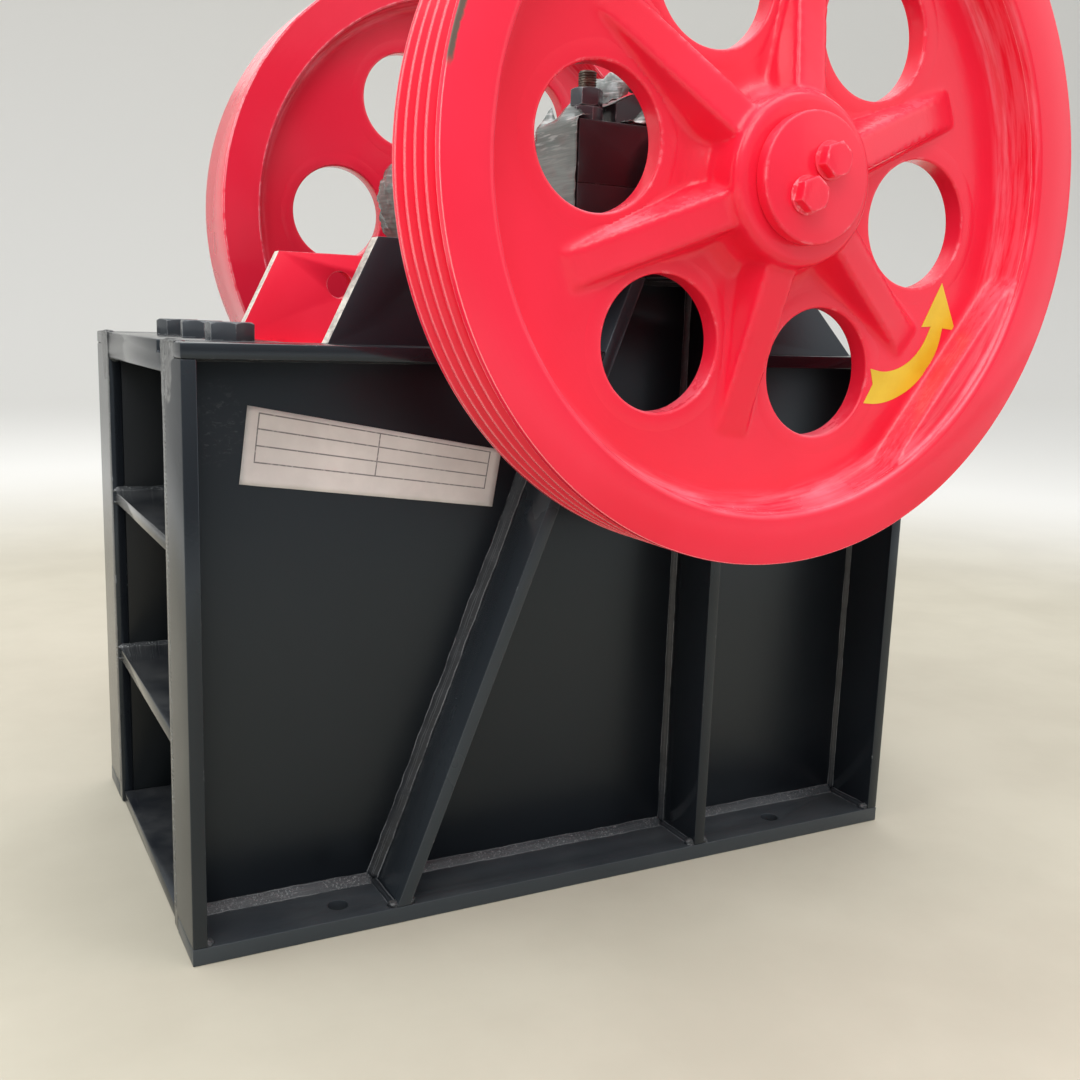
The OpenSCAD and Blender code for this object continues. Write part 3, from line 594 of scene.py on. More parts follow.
def softened(node, name, material, width, slot="frame_paint", body="frame"):
    """The node's shape with its edges broken, in place of the node."""
    obj = copied(node)
    edit(obj, lambda: bpy.ops.mesh.dissolve_limited(angle_limit=math.radians(0.4)))
    bevel(obj, width, 2, 30, use_clamp_overlap=True, miter_outer="MITER_SHARP")
    smooth(obj)
    return dress(obj, name, material, body, [node])


def joined(objects, name):
    only(*objects)
    if len(objects) > 1:
        bpy.ops.object.join()
    made = bpy.context.view_layer.objects.active
    made.name = name
    return made


def mirrored(obj, name):
    """A copy on the other side of the machine."""
    made = obj.copy()
    made.data = obj.data.copy()
    scene.collection.objects.link(made)
    set_points(made, points(made) * (1, -1, 1))
    made.data.flip_normals()
    made.name = name
    return made


def loop_through(outline, kind="NOTHING"):
    """A ring of edges, or one face, through the given points."""
    bpy.ops.mesh.primitive_circle_add(vertices=len(outline), fill_type=kind)
    obj = bpy.context.object
    set_points(obj, np.array(outline))
    return obj


def spun(outline, steps, x, z, angle):
    """The outline of (x, y, z) points turned once round a line across the machine."""
    obj = loop_through(outline)
    edit(obj, lambda: bpy.ops.mesh.spin(steps=steps, angle=2 * math.pi, center=(x, 0, z), axis=(0, 1, 0)))
    smooth(outward(obj), math.radians(angle))
    return obj


def hexagon(af, height, both_ends=False):
    """A hexagon nut or head on z = 0, its corners turned down by a cone."""
    body = cylinder(6, af / 2 / math.cos(math.pi / 6), height)
    reach = af / 2 * 0.98
    for foot in ((False, True) if both_ends else (False,)):
        bpy.ops.mesh.primitive_cone_add(vertices=72, radius1=reach + height * 1.9, radius2=reach,
                                        depth=height * 1.1, location=(0, 0, height * 0.45))
        cone = place(bpy.context.object)
        if foot:
            set_points(cone, points(cone) * (1, 1, -1) + (0, 0, height))
            cone.data.flip_normals()
        apply(body, "BOOLEAN", operation="INTERSECT", object=cone, solver="EXACT")
        bpy.data.objects.remove(cone)
    bevel(body, height * 0.03, 2, 25)
    smooth(body, math.radians(25))
    return body


def thread(radius, pitch, turns):
    """A threaded length on z = 0 with a turned-down end."""
    depth = pitch * 0.55
    obj = loop_through([(radius - depth, 0, 0), (radius, 0, pitch * 0.5), (radius - depth, 0, pitch)])
    apply(obj, "SCREW", screw_offset=pitch, iterations=turns, steps=28, render_steps=28, axis="Z",
          use_merge_vertices=True, use_smooth_shade=True)
    core = cylinder(48, radius - depth * 0.75, pitch * (turns + 1))
    bevel(core, depth * 0.8, 2, 60)
    smooth(core)
    return joined([core, obj], "thread")


def moved(obj, at, turn=None):
    """The piece turned about its own foot and then moved to a point."""
    obj.data.transform(Matrix.Translation(Vector(at)) @ (turn or Matrix.Identity(4)))
    return obj


# ---------------------------------------------------------------- frame plates

LIFT_X, LIFT_Z = -0.210, 0.548
EYE_R, EYE_RIM, ROD_Z = 0.021, 0.010, 0.096
EYE_ROOM = 0.0012


def plain_frame():
    """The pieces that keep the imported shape, with their edges broken and a finish each."""
    for side in SIDES:
        for node, part, material, width, *slot in (
                ("base_flange", "base_flange_plate", lit_base_paint, 0.0014),
                ("front_flange", "front_flange_plate", frame_paint, 0.0014),
                ("rear_flange", "rear_flange_plate", frame_paint, 0.0014),
                ("top_flange", "top_flange_plate", frame_paint, 0.0014),
                ("diagonal_rib", "diagonal_rib_plate", lit_rib_paint, 0.0016),
                ("upright_rib", "upright_rib_plate", frame_paint, 0.0016),
                ("bearing_seat", "bearing_seat_plate", frame_paint, 0.0014),
                ("cheek_plate", "cheek_liner", red_plate, 0.0016, "red_paint"),
                ("bearing_base", "bearing_block", block_paint, 0.002),
                ("bearing_cap", "bearing_strap", block_paint, 0.002)):
            softened(f"{node}_{side}", f"{part}_{side}", material, width, *slot)
        side_wall(side)
    softened("front_wall", "front_wall_steel", recess_shade_paint, 0.0014)
    for node in ("front_top_plate", "front_shelves", "rear_wall", "rear_top_plate", "rear_shelves",
                 "spring_bar"):
        softened(node, f"{node}_steel", frame_paint, 0.0014)
    softened("adjusting_block", "adjusting_block_steel", frame_paint, 0.002)
    softened("shim_pack", "shim_stack", bare_steel, 0.0008, "bare_steel")
    softened("toggle_plate", "toggle_bar", jaw_steel, 0.0015, "bare_steel")
    open_eye(softened("tension_rod", "tension_rod_steel", bare_steel, 0.0008, "bare_steel"))
    softened("fixed_jaw_plate", "fixed_jaw_teeth", jaw_steel, 0.0022, "manganese_steel")
    softened("movable_jaw_plate", "swing_jaw_teeth", jaw_steel, 0.0022, "manganese_steel", "swing_jaw")
    softened("toggle_seat", "toggle_socket", jaw_steel, 0.0012, "bare_steel", "swing_jaw")
    softened("pitman", "swing_jaw_casting", frame_paint, 0.004, body="swing_jaw")
    softened("eccentric_shaft", "crank_shaft", bare_steel, 0.0012, "bare_steel", "shaft")
    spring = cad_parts["tension_spring"]
    spring.data.materials.clear()
    spring.data.materials.append(bare_steel)


def side_wall(side):
    """A side plate: torch-cut along its slanted edge, red inside and in its lifting hole."""
    plate = softened(f"side_plate_{side}", f"side_wall_{side}", shaded_plate_paint, 0.0012)
    plate.data.materials.append(cut_edge)
    plate.data.materials.append(inner_paint)
    for face in plate.data.polygons:
        slanted = face.normal.x < -0.7 and face.normal.z > 0.2
        inward = face.normal.y * SIDES[side] < -0.9
        in_hole = math.hypot(face.center.x - LIFT_X, face.center.z - LIFT_Z) < 0.016
        face.material_index = 1 if slanted else 2 if inward or in_hole else 0


def open_eye(rod):
    """Widens the bore of the rod's eye, so that the swing jaw's pin clears it all the way round."""
    at = points(rod)
    off = at[:, [0, 2]] - (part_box("tension_rod")[0].x + EYE_R + EYE_RIM, ROD_Z)
    far = np.linalg.norm(off, axis=1)
    in_eye = far < EYE_R + 0.0015
    at[:, [0, 2]] += np.where(in_eye, EYE_ROOM / np.maximum(far, 1e-6), 0)[:, None] * off
    set_points(rod, at)


# ---------------------------------------------------------------- wheels

WHEEL_R, RIM_FACE, RIM_IN, BORE_R = 0.305, 0.354, 0.265, 0.263
GROOVES, GROOVE_PITCH, GROOVE_D = 4, 0.0195, 0.013
GROOVE_TOP, GROOVE_FOOT = 0.0080, 0.0035
LIP = 0.0080
WEB_MID, WEB_HALF = 0.306, 0.010
HOLE_R, HOLE_OUT, HOLE_ROUND = 0.054, 0.162, 0.0024
FIRST_HOLE = {"right": 172.7, "left": 178.0}


def rim_outline(grooved):
    """The rim ring's cross-section as (radius, distance out), round to its start."""
    bore = BORE_R - 0.0002
    hidden = BORE_R + 0.008
    edge, round_in = 0.0016, 0.0055
    outline = [(hidden, RIM_IN + LIP + 0.004), (bore, RIM_IN + LIP), (bore, RIM_IN + edge),
               (bore + edge, RIM_IN), (WHEEL_R - edge, RIM_IN), (WHEEL_R, RIM_IN + edge)]
    if grooved:
        middle = (RIM_IN + RIM_FACE) / 2
        soft = 0.0006
        for i in range(GROOVES):
            at = middle + (i - (GROOVES - 1) / 2) * GROOVE_PITCH
            foot = WHEEL_R - GROOVE_D
            outline += [(WHEEL_R, at - GROOVE_TOP - soft), (WHEEL_R - soft, at - GROOVE_TOP),
                        (foot + soft, at - GROOVE_FOOT - soft / 2), (foot, at - GROOVE_FOOT + soft),
                        (foot, at + GROOVE_FOOT - soft), (foot + soft, at + GROOVE_FOOT + soft / 2),
                        (WHEEL_R - soft, at + GROOVE_TOP), (WHEEL_R, at + GROOVE_TOP + soft)]
    outline += [(WHEEL_R, RIM_FACE - edge), (WHEEL_R - edge * 0.3, RIM_FACE - edge * 0.3),
                (WHEEL_R - edge, RIM_FACE)]
    for i in range(7):
        turn = math.radians(15 * i)
        outline.append((bore + round_in * (1 - math.sin(turn)), RIM_FACE - round_in * (1 - math.cos(turn))))
    outline += [(bore, RIM_FACE - LIP), (hidden, RIM_FACE - LIP - 0.004)]
    return outline


def make_rim(side, grooved):
    """The rim ring, spun round the shaft."""
    outline = [(r, SIDES[side] * out, SHAFT_Z) for r, out in rim_outline(grooved)]
    return spun(outline, 192, 0, SHAFT_Z, 24)


def make_casting(side, node):
    """Hub, web, ribs and balance weight as one casting, its corners rounded all over."""
    sign = SIDES[side]
    obj = copied(node)
    at = points(obj)
    radius = np.hypot(at[:, 0], at[:, 2] - SHAFT_Z)
    out = at[:, 1] * sign
    rim = radius > BORE_R + 0.0005
    shrink = np.where(rim, (BORE_R + 0.006) / np.maximum(radius, 1e-6), 1.0)
    at[:, 0] *= shrink
    at[:, 2] = SHAFT_Z + (at[:, 2] - SHAFT_Z) * shrink
    near_rim = radius > 0.2
    at[:, 1] = np.where(near_rim, np.clip(out, RIM_IN + 0.003, RIM_FACE - 0.003) * sign, at[:, 1])
    set_points(obj, at)
    edit(obj, lambda: bpy.ops.mesh.remove_doubles(threshold=2e-5))
    voxel = 0.0026
    apply(obj, "REMESH", mode="VOXEL", voxel_size=voxel, adaptivity=0.0)
    apply(obj, "SMOOTH", factor=0.5, iterations=6)
    apply(obj, "DECIMATE", decimate_type="COLLAPSE", ratio=0.5)
    obj.data.shade_smooth()
    return obj


def hole_rings(casting, side):
    """A ring with a true wall and lip in each hole of the web, over the casting's own edge."""
    at = points(casting)
    proud, lip = WEB_HALF + 0.0002, HOLE_ROUND
    outline = [(HOLE_R + 0.0200, proud - 0.0007), (HOLE_R + 0.0150, proud - 0.0002),
               (HOLE_R + 0.0105, proud)]
    outline += [(HOLE_R + lip * (1 - math.sin(turn)), proud - lip * (1 - math.cos(turn)))
                for turn in (math.radians(18 * i) for i in range(6))]
    outline += [(r, -out) for r, out in reversed(outline)]
    rings = []
    for i in range(6):
        turn = math.radians(FIRST_HOLE[side] + 60 * i)
        x, z = HOLE_OUT * math.cos(turn), SHAFT_Z + HOLE_OUT * math.sin(turn)
        rings.append(spun([(x + r, SIDES[side] * (WEB_MID + out), z) for r, out in outline], 96, x, z, 40))
        off = np.stack([at[:, 0] - x, at[:, 2] - z], 1)
        far = np.linalg.norm(off, axis=1)
        level = at[:, 1] * SIDES[side] - WEB_MID
        edge = (far < HOLE_R + 0.009) & (np.abs(level) < WEB_HALF + 0.0012)
        grow = np.where(edge, np.maximum(far, HOLE_R + 0.0035) / np.maximum(far, 1e-6), 1.0)
        at[:, 0], at[:, 2] = x + off[:, 0] * grow, z + off[:, 1] * grow
        flush = np.clip(level, -WEB_HALF, WEB_HALF)
        at[:, 1] = np.where(edge, (WEB_MID + flush) * SIDES[side], at[:, 1])
    set_points(casting, at)
    return rings


def wheels():
    for side, node, finish, rim_finish in (("right", "belt_sheave", red_paint, sheave_rim),
                                           ("left", "flywheel", shaded_flywheel_paint, shaded_flywheel_paint)):
        casting = make_casting(side, node)
        lips = joined(hole_rings(casting, side), "lips")
        dress(casting, f"{node}_casting", finish, "shaft", [node])
        dress(lips, f"{node}_hole_lips", finish, "shaft", [node])
        rim = make_rim(side, grooved=node == "belt_sheave")
        dress(rim, f"{node}_rim", rim_finish, "shaft", [node])
        end_cap(side)


def out_from(side):
    """The turn that lays a piece's own z axis outwards on a side."""
    return Matrix.Rotation(math.radians(90 if side == "right" else -90), 4, "X")


HUB_END, CAP_END, CAP_R, WASHER_T = 0.360, 0.3725, 0.050, 0.002


def end_cap(side):
    """The shaft's end cap with two washers and hexagon bolts."""
    sign = SIDES[side]
    disc = cylinder(96, CAP_R, CAP_END - HUB_END)
    bevel(disc, 0.0022, 3, 60)
    smooth(disc)
    moved(disc, (0, sign * HUB_END, SHAFT_Z), out_from(side))
    dress(disc, f"end_cap_disc_{side}", red_paint, "shaft", [f"end_cap_{side}"])
    parts = []
    for step in (-1, 1):
        turn = math.radians(53)
        x, z = step * 0.017 * math.cos(turn), step * 0.017 * math.sin(turn)
        washer = cylinder(48, 0.015, WASHER_T)
        bevel(washer, 0.0005, 2, 60)
        smooth(washer)
        head = moved(hexagon(0.024, 0.010), (0, 0, WASHER_T), Matrix.Rotation(0.35 + step * 0.5, 4, "Z"))
        bolt = joined([washer, head], "bolt")
        parts.append(moved(bolt, (x, sign * CAP_END, SHAFT_Z + z), out_from(side)))
    dress(joined(parts, "bolts"), f"end_cap_bolts_{side}", red_paint, "shaft",
          [f"end_cap_{side}"])


def eased(path, steps=4):
    """The path as a smooth curve through its points."""
    full = [path[0], *path, path[-1]]
    curve = []
    for a, b, c, d in zip(full, full[1:], full[2:], full[3:]):
        for i in range(steps):
            t = i / steps
            curve.append([0.5 * (2 * q + (r - p) * t + (2 * p - 5 * q + 4 * r - s) * t ** 2
                                 + (3 * q - p - 3 * r + s) * t ** 3) for p, q, r, s in zip(a, b, c, d)])
    return [*curve, path[-1]]


def turning_arrow():
    """The curved yellow arrow on the sheave's web that shows which way the shaft turns."""
    head = [(0.1970, -0.069), (0.2180, -0.110)]
    neck = (0.1880, -0.1075)
    back = (0.1770, -0.1080)
    outer = [(0.2020, -0.1085), (0.1975, -0.128), (0.186, -0.147), (0.170, -0.162), (0.150, -0.172),
             (0.132, -0.176), (0.116, -0.1755)]
    notch = (0.125, -0.159)
    inner = [(0.121, -0.1455), (0.137, -0.148), (0.153, -0.145), (0.168, -0.137), (0.180, -0.124), neck]
    outline = [*head, *eased(outer), notch, *eased(inner), back]
    obj = loop_through([(x, 0, SHAFT_Z + z) for x, z in outline], "NGON")
    edit(obj, lambda: bpy.ops.mesh.quads_convert_to_tris(),
         lambda: bpy.ops.mesh.extrude_region_move(TRANSFORM_OT_translate={"value": (0, -0.0006, 0)}),
         lambda: bpy.ops.mesh.select_all(action="SELECT"),
         lambda: bpy.ops.mesh.normals_make_consistent(inside=False))
    moved(obj, (0, -0.3159, 0))
    dress(obj, "turning_arrow", arrow_paint, "shaft")


# ---------------------------------------------------------------- fasteners

STUD_X, STUD_Y, SHOULDER_Z = 0.100, 0.186, SHAFT_Z + 0.051


def fasteners():
    heads = []
    low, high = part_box("clamp_bolts")
    for step, turn in ((-1, 1.0), (0, -6.5), (1, 17.6)):
        head = hexagon(0.036, high.z - low.z)
        turned = Matrix.Rotation(math.radians(turn), 4, "Z")
        heads.append(moved(head, (-0.386, step * 0.107, low.z), turned))
    dress(joined(heads, "heads"), "clamp_bolt_heads", fastener, "frame", ["clamp_bolts"])
    nuts, studs = [], []
    for sign in (-1, 1):
        for x in (-STUD_X, STUD_X):
            for level, turn in ((0.0, 0.2), (0.0150, 0.55)):
                nut = hexagon(0.0245, 0.0148, both_ends=True)
                turned = Matrix.Rotation(turn + x * 3, 4, "Z")
                nuts.append(moved(nut, (x, sign * STUD_Y, SHOULDER_Z + level), turned))
            studs.append(moved(thread(0.008, 0.002, 21), (x, sign * STUD_Y, SHOULDER_Z)))
    for parts, name, finish in ((nuts, "stud_nuts", fastener), (studs, "stud_threads", thread_steel)):
        dress(joined(parts, name), name, finish, "frame", ["bearing_studs"])


# ---------------------------------------------------------------- welds

PLATE_IN, PLATE_OUT, FLANGE_OUT, BASE_T = 0.142, 0.158, 0.218, 0.014
FRONT_X, REAR_X, FLANGE_T = -0.448, 0.272, 0.012
SADDLE_UNDER, TOP_UNDER = 0.556, 0.480


RIB_FOOT, RIB_FOOT_Z, RIB_LEAN = 0.174, 0.018, 0.389
RIB_RUN = FLANGE_T / math.cos(math.atan(RIB_LEAN))
CELL_D = 0.072
ACROSS = 8
SUNK = 0.0006


def rib_front(z):
    """Where the diagonal rib's front face is at a height."""
    return FRONT_X + RIB_FOOT + RIB_LEAN * (z - RIB_FOOT_Z)


def fillet(start, end, one, other, leg, seed, out=None, crown=0.0, ripple=0.00012, wander=0.055):
    """A weld from start to end. Its toes lie one leg away along the directions one and other, and it bulges
    along out, which is the way between them unless it is given."""
    start, end, one, other = (np.array(a, float) for a in (start, end, one, other))
    one, other = one / np.linalg.norm(one), other / np.linalg.norm(other)
    up = np.array(out, float) if out else (one + other) / np.linalg.norm(one + other)
    into = up if out else one + other
    length = np.linalg.norm(end - start)
    along = max(8, int(length / (0.0018)))
    obj, u, v = grid(along, ACROSS + 2)
    reach = u * length
    column = np.rint(v * (ACROSS + 2))
    s = np.where(column == ACROSS + 2, 0, column) / ACROSS
    root = column == ACROSS + 1
    draw = np.random.RandomState(seed)
    legs = []
    for _ in range(2):
        waves = [np.sin(reach * 2 * math.pi / pace + draw.uniform(0, 6)) * share
                 for pace, share in ((0.019, 0.4), (0.043, 0.6), (0.12, 0.8))]
        legs.append(leg * (1 + wander * sum(waves)))
    size = np.sqrt(np.clip(np.minimum(reach, length - reach) / 0.005, 0, 1))
    bulge = 1.0 if out else 0.85
    arch = np.sin(np.clip(s, 0, 1) * math.pi)
    scales = np.sin(reach * 2 * math.pi / 0.0034 - 2.4 * arch + np.sin(reach * 90 + seed))
    scales *= np.sqrt(np.abs(arch))
    side_one = np.clip(1 - s, 0, 1) ** bulge * legs[0] * size
    side_other = np.clip(s, 0, 1) ** bulge * legs[1] * size
    lift = (crown * np.abs(arch) ** 0.7 + ripple * scales) * size
    seam = start + np.outer(reach / length, end - start)
    at = (seam - into * SUNK
          + np.outer(side_one, one) + np.outer(side_other, other) + np.outer(lift, up))
    inside = seam - into * 0.002
    set_points(obj, np.where(root[:, None], inside, at))
    outward(obj)
    obj.data.shade_smooth()
    return obj


def blob(at, size, seed):
    """A lump of weld metal."""
    draw = random.Random(seed)
    bpy.ops.mesh.primitive_ico_sphere_add(subdivisions=4, radius=1, location=(0, 0, 0))
    obj = bpy.context.object
    found = points(obj)
    waves = [(np.array([draw.uniform(-3, 3) for _ in range(3)]), draw.uniform(0, 6)) for _ in range(9)]
    grow = 1 + sum(0.05 * np.sin(found @ way + phase) for way, phase in waves)
    grow += sum(0.018 * np.sin(found @ (way * 4) + phase) for way, phase in waves)
    set_points(obj, found * grow[:, None] * np.array(size) + np.array(at))
    obj.data.shade_smooth()
    return obj


def corner_patch():
    """Weld metal spread thin over the front top corner, with a ragged rim."""
    obj, u, v = grid(60, 56)
    y, z = -PLATE_IN - 0.0003 - u * 0.052, 0.4925 - v * 0.052
    draw = np.random.RandomState(92)
    rough = np.zeros(len(u))
    for _ in range(26):
        way, pace = draw.uniform(0, math.pi), draw.uniform(120, 1500)
        line = (y * math.cos(way) + z * math.sin(way)) * pace + draw.uniform(0, 6)
        rough += np.sin(line) * (160 / pace) ** 0.5
    rough /= 6
    edge = np.clip(1.1 - np.hypot(u * 1.05, v) + 0.22 * rough, 0, 1)
    grain = np.random.RandomState(93).uniform(-1, 1, len(u))
    thick = 0.00055 * edge ** 1.5 + (0.00030 * rough + 0.00010 * grain) * edge - 0.00004
    set_points(obj, np.stack([FRONT_X - thick, y, z], 1))
    edit(obj, lambda: bpy.ops.mesh.extrude_region_move(TRANSFORM_OT_translate={"value": (0.0012, 0, 0)}))
    outward(obj)
    obj.data.shade_smooth()
    return obj


def side_welds():
    """The welds on the right side, and their mirror images on the left."""
    y, foot = -PLATE_OUT, BASE_T
    outer, up, down, front, rear = (0, -1, 0), (0, 0, 1), (0, 0, -1), (-1, 0, 0), (1, 0, 0)
    lean_front, lean_rear = (-1, 0, RIB_LEAN), (1, 0, -RIB_LEAN)
    rib = [rib_front(foot), rib_front(foot) + RIB_RUN]
    flange_end = -FLANGE_OUT + 0.004
    near, far = FRONT_X + FLANGE_T, REAR_X - FLANGE_T
    upright = (0.035, 0.047)
    spans = (near, rib[0], 0.0092), (rib[1], upright[0], 0.0085), (upright[1], far, 0.0085)
    base = [fillet((a, y, foot), (b, y, foot), outer, up, leg, 11 + i, ripple=0.00016, wander=0.035)
            for i, (a, b, leg) in enumerate(spans)]
    rows = []
    for i, (run, way, leg) in enumerate(((0.0, lean_front, 0.0098), (RIB_RUN, lean_rear, 0.0052))):
        for a, b in ((foot, TOP_UNDER), (TOP_UNDER + FLANGE_T, SADDLE_UNDER)):
            rows.append(((rib_front(a) + run, y, a), (rib_front(b) + run, y, b), outer, way, leg, 21 + i))
        rows.append(((rib[i], y, foot), (rib[i], flange_end, foot), up, (front, rear)[i], 0.0050, 31 + i))
    for i, (x, way) in enumerate(zip(upright, (front, rear))):
        top = TOP_UNDER if i else SADDLE_UNDER
        rows.append(((x, y, foot), (x, y, top), outer, way, 0.0055, 41 + i))
        rows.append(((x, y, foot), (x, flange_end, foot), up, way, 0.0050, 45 + i))
    for i, (x, way) in enumerate(((near, rear), (far, front))):
        rows.append(((x, y, foot), (x, y, TOP_UNDER), outer, way, 0.0050, 51 + i))
        rows.append(((x, y, foot), (x, flange_end, foot), up, way, 0.0055, 55 + i))
    rows.append(((near, y, TOP_UNDER), (rib_front(TOP_UNDER), y, TOP_UNDER), outer, down, 0.0045, 61))
    rows.append(((-0.13, y, SADDLE_UNDER), (0.13, y, SADDLE_UNDER), outer, down, 0.0050, 63))
    ribs = [fillet(*row) for row in rows]
    seam, inner, inward = -PLATE_IN - 0.008, -PLATE_IN, (0, 1, 0)
    strips = [fillet((FRONT_X, seam, 0.016), (FRONT_X, seam, 0.474), inward, outer, 0.0075, 71, out=front,
                     crown=0.0010, ripple=0.0004, wander=0.12)]
    for level, way, seed, wander in ((0.158, down, 75, 0.12), (0.170, up, 75, 0.12),
                                     (0.322, down, 78, 0.12), (0.334, up, 78, 0.12),
                                     (0.467, down, 79, 0.055)):
        strips.append(fillet((FRONT_X, inner, level), (FRONT_X + CELL_D, inner, level), inward, way,
                             0.0045, seed, wander=wander))
    corners = [fillet((FRONT_X + 0.004, -PLATE_IN - 0.001, 0.492), (FRONT_X + 0.004, -0.196, 0.492),
                      front, rear, 0.0055, 82, out=up, crown=0.0020, ripple=0.0005, wander=0.20),
               corner_patch()]
    lumps = []
    feet = [(rib[0] - 0.001, 94), (rib[1] + 0.001, 95), (0.034, 96), (0.048, 97), (near + 0.001, 98),
            (far - 0.001, 99)]
    for x, seed in feet:
        lumps.append(blob((x, -FLANGE_OUT + 0.0055, BASE_T + 0.0005), (0.0056, 0.0050, 0.0044), seed))
    for parts, name, material in ((base, "base_welds", lit_base_weld), (ribs, "rib_welds", rib_weld),
                                  (strips, "strip_welds", strip_weld), (lumps, "weld_ends", lump_paint),
                                  (corners, "corner_welds", corner_paint)):
        made = joined(parts, name)
        other = mirrored(made, name + "_left")
        dress(made, name + "_right", material, "frame")
        dress(other, name + "_left", material, "frame")


# ---------------------------------------------------------------- paper form and film

def paper_form():
    """The form stuck on the side plate: a thin sheet that lifts a little along its edges."""
    corners = [Vector((-0.3925, -0.1584, 0.3785)), Vector((-0.1665, -0.1584, 0.3510)),
               Vector((-0.1590, -0.1584, 0.4020)), Vector((-0.3850, -0.1584, 0.4420))]
    obj, u, v = grid(40, 12)
    low = np.outer(1 - u, corners[0]) + np.outer(u, corners[1])
    top = np.outer(1 - u, corners[3]) + np.outer(u, corners[2])
    at = low * (1 - v)[:, None] + top * v[:, None]
    edge = np.minimum(np.minimum(u, 1 - u) * 4.4, np.minimum(v, 1 - v))
    lift = 0.0009 * np.exp(-edge * 14) * (0.4 + 0.6 * np.sin(u * 17) ** 2)
    lift += 0.00025 * np.sin(u * 23 + v * 5)
    at[:, 1] -= 0.0003 + lift
    set_points(obj, at)
    layer = obj.data.uv_layers[0] if obj.data.uv_layers else obj.data.uv_layers.new(name="flat")
    for loop in obj.data.loops:
        layer.data[loop.index].uv = (u[loop.vertex_index], v[loop.vertex_index])
    apply(obj, "SOLIDIFY", thickness=0.0002, offset=0.0)
    obj.data.shade_smooth()
    dress(obj, "paper_form", paper, "frame")


def film_sheet(name, outline, low, high, seed, body, sag=0.0022, blown=None):
    """Film pulled round a side-view outline of (x, z) points, from one width to another. blown is where it
    stands off in a bubble: (depth, across, along, reach across, reach along)."""
    draw = random.Random(seed)
    path = [Vector((x, 0, z)) for x, z in outline]
    lengths = [0.0]
    for a, b in zip(path, path[1:]):
        lengths.append(lengths[-1] + (b - a).length)
    along = max(24, int(lengths[-1] / 0.0035))
    across = max(10, int((high - low) / 0.0035))
    obj, u, v = grid(along, across)
    reach = u * lengths[-1]

    def on_path(reached):
        return np.array([np.interp(reached, lengths, [p[axis] for p in path]) for axis in (0, 2)])

    x, z = on_path(reach)
    step = 0.004
    x_on, z_on = on_path(reach + step) - on_path(reach - step)
    size = np.maximum(np.hypot(x_on, z_on), 1e-9)
    y = low + v * (high - low)
    fold = np.zeros(len(x))
    for i in range(16):
        way = Vector((1, draw.uniform(-0.35, 0.35) if i % 4 else draw.uniform(-1.4, 1.4), 0)).normalized()
        pace = draw.uniform(50, 300)
        phase = draw.uniform(0, 6)
        line = np.sin((reach * way.x + y * way.y) * pace + phase + 1.5 * np.sin(y * 60 + phase))
        fold += (1 - np.abs(line)) ** 2 * draw.uniform(0.3, 1.0) * (90 / pace) ** 0.5
    fold = fold / fold.max()
    lift = 0.0006 + sag * fold ** 1.5
    if blown:
        depth, mid_y, mid_reach, half_y, half_reach = blown
        round_off = np.hypot((y - mid_y) / half_y, (reach - mid_reach) / half_reach)
        lift += depth * np.clip(1 - round_off ** 2, 0, 1) ** 0.7 * (0.75 + 0.5 * fold)
    x += -z_on / size * lift
    z += x_on / size * lift
    set_points(obj, np.stack([x, y, z], 1))
    apply(obj, "SOLIDIFY", thickness=0.00025, offset=0.0)
    obj.data.shade_smooth()
    dress(obj, name, film, body)
    return obj


def arc(centre, radius, start, end, count):
    """Points on a side-view circle, from one angle to another, in degrees from +X towards +Z."""
    return [(centre[0] + radius * math.cos(math.radians(start + (end - start) * i / count)),
             centre[1] + radius * math.sin(math.radians(start + (end - start) * i / count)))
            for i in range(count + 1)]


def films():
    """Packing film round the swing jaw's head and over the bearing blocks."""
    film_sheet("head_film", arc((0, 0.624), 0.0885, 215, -20, 40), -0.116, 0.116, 5, "swing_jaw")
    for side, sign in SIDES.items():
        a, b = sorted((sign * 0.1425, sign * 0.2175))
        front = [(-0.1245, 0.590), (-0.1245, 0.679), (-0.1225, 0.683), (-0.110, 0.6835)]
        blown = (0.015, 0.212, 0.055, 0.045, 0.042) if side == "left" else None
        wrap = film_sheet(f"block_film_{side}", front, a, b, 7 + sign, "frame",
                          0.0016, blown)
        at = points(wrap)
        rise = np.interp(np.abs(at[:, 1]), (0.142, 0.149, 0.160, 0.172, 0.179, 0.188, 0.202, 0.218),
                         (0.017, 0.005, 0.006, 0.014, 0.017, 0.012, 0.003, 0.001))
        at[:, 2] += rise * np.clip((at[:, 0] + 0.1245) / 0.013, 0, 1) ** 1.5
        set_points(wrap, at)
        crown = arc((0, 0.572), 0.1505, 124, 62, 24)
        a, b = sorted((sign * 0.153, sign * 0.197))
        film_sheet(f"strap_film_{side}", crown, a, b, 17 + sign, "frame", 0.0045,
                   (0.020, sign * 0.172, 0.030, 0.026, 0.030))
        a, b = sorted((sign * 0.199, sign * 0.2170))
        film_sheet(f"ledge_film_{side}", [(-0.080, 0.6815), (-0.015, 0.6815)], a, b, 27 + sign, "frame",
                   0.003, (0.017, sign * 0.208, 0.040, 0.012, 0.028))


# ---------------------------------------------------------------- stage and light

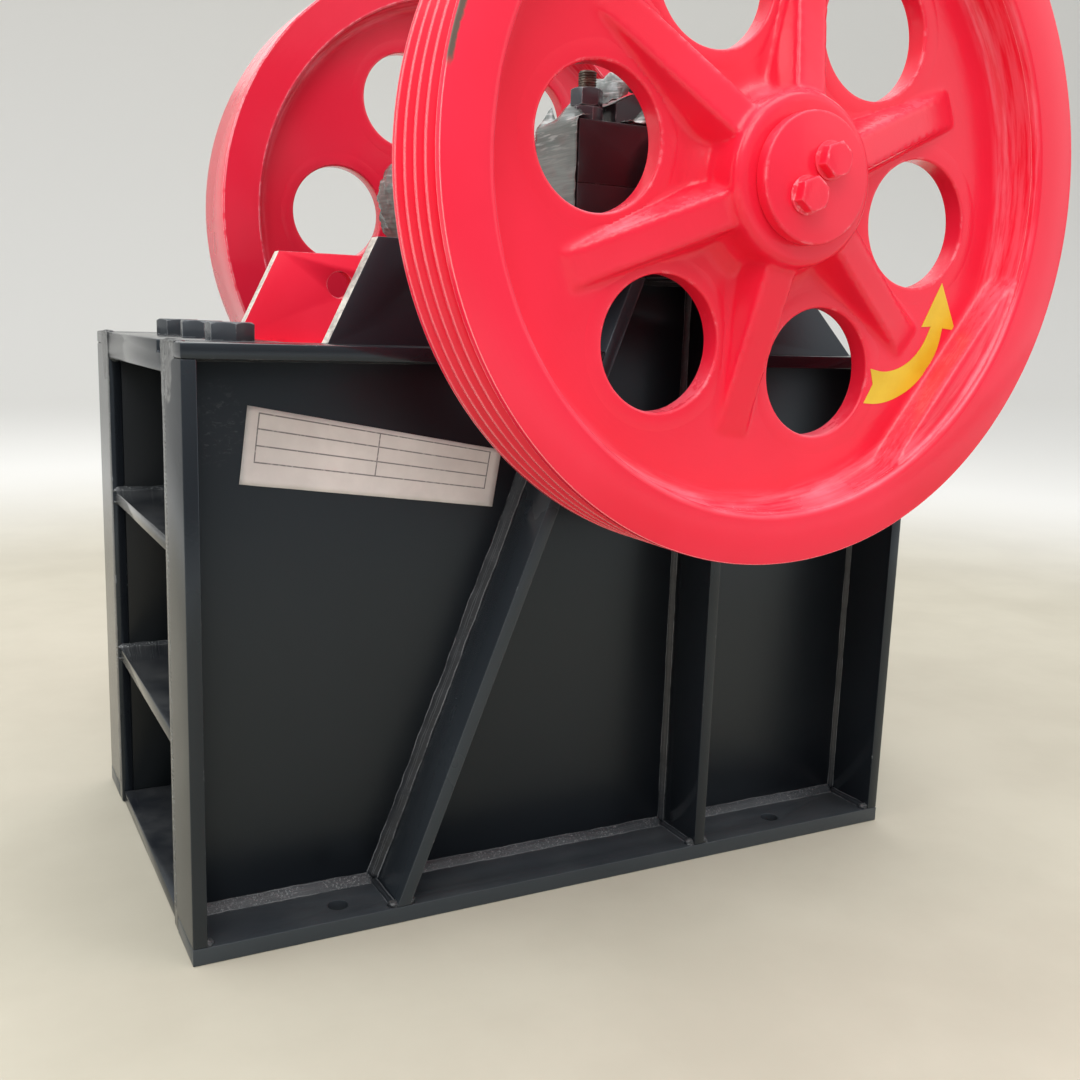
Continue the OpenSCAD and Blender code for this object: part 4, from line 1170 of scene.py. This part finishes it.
def stage():
    bpy.ops.mesh.primitive_plane_add(size=30, location=(0, -6.0, -0.0005))
    floor = place(bpy.context.object)
    floor.name = "floor"

    def far_edge():
        bpy.ops.mesh.select_all(action="DESELECT")
        bpy.ops.object.mode_set(mode="OBJECT")
        for vertex in floor.data.vertices:
            vertex.select = vertex.co.y > 7
        bpy.ops.object.mode_set(mode="EDIT")
        bpy.ops.mesh.extrude_region_move(TRANSFORM_OT_translate={"value": (0, 0, 7)})

    edit(floor, far_edge)
    bevel(floor, 3.0, 24, 40)
    floor.data.shade_smooth()
    made, tree, shader = new_material("floor", (0.55, 0.53, 0.46), 0.8)
    patch = cloudy(tree, 3.0, 6.0, 0.6, 0.3, 0.7)
    far = put(tree, "ShaderNodeVectorMath", {0: here(tree)}, operation="LENGTH").outputs["Value"]
    base = blend_colour(tree, patch, (0.455, 0.420, 0.335), (0.510, 0.474, 0.382))
    # Painted light: the floor turns lighter far from the machine, standing in for the brighter hall that
    # the frame's front faces reflect.
    link(tree, shader, blend_colour(tree, ramp(tree, far, 1.3, 3.2), base, (0.84, 0.825, 0.785)))
    floor.data.materials.append(made)

    world = bpy.data.worlds.new("studio")
    world.use_nodes = True
    scene.world = world
    tree = world.node_tree
    tree.nodes.clear()
    out = tree.nodes.new("ShaderNodeOutputWorld")
    way = put(tree, "ShaderNodeTexCoord").outputs["Generated"]
    high = part_of(tree, way, "Z")
    sky = put(tree, "ShaderNodeBackground", {"Color": (0.97, 0.985, 1.0, 1),
                                             "Strength": ramp(tree, high, 0.0, 0.6, 0.41, 0.92)})
    tree.links.new(sky.outputs[0], out.inputs["Surface"])

    for name, at, aim, size, power, colour in (
            ("key", (-1.3, -2.1, 2.9), (0, 0, 0.5), 1.8, 38, (1, 0.985, 0.97)),
            ("top", (0.3, -0.2, 3.2), (0, 0, 0.4), 2.6, 48, (1, 1, 1)),
            ("fill", (2.8, -2.2, 1.4), (0, 0, 0.45), 2.4, 13, (0.95, 0.98, 1)),
            ("front", (-2.9, 0.0, 2.6), (0, 0, 0.4), 2.2, 62, (0.95, 0.98, 1)),
            ("back", (0.9, 3.2, 2.6), (0, 0, 0.5), 2.2, 12, (1, 1, 1))):
        data = bpy.data.lights.new(name, "AREA")
        data.size = size
        data.energy = power
        data.color = colour
        lamp = bpy.data.objects.new(name, data)
        scene.collection.objects.link(lamp)
        lamp.location = at
        lamp.rotation_euler = (Vector(aim) - Vector(at)).to_track_quat("-Z", "Y").to_euler()


plain_frame()
wheels()
turning_arrow()
fasteners()
side_welds()
paper_form()
films()
stage()
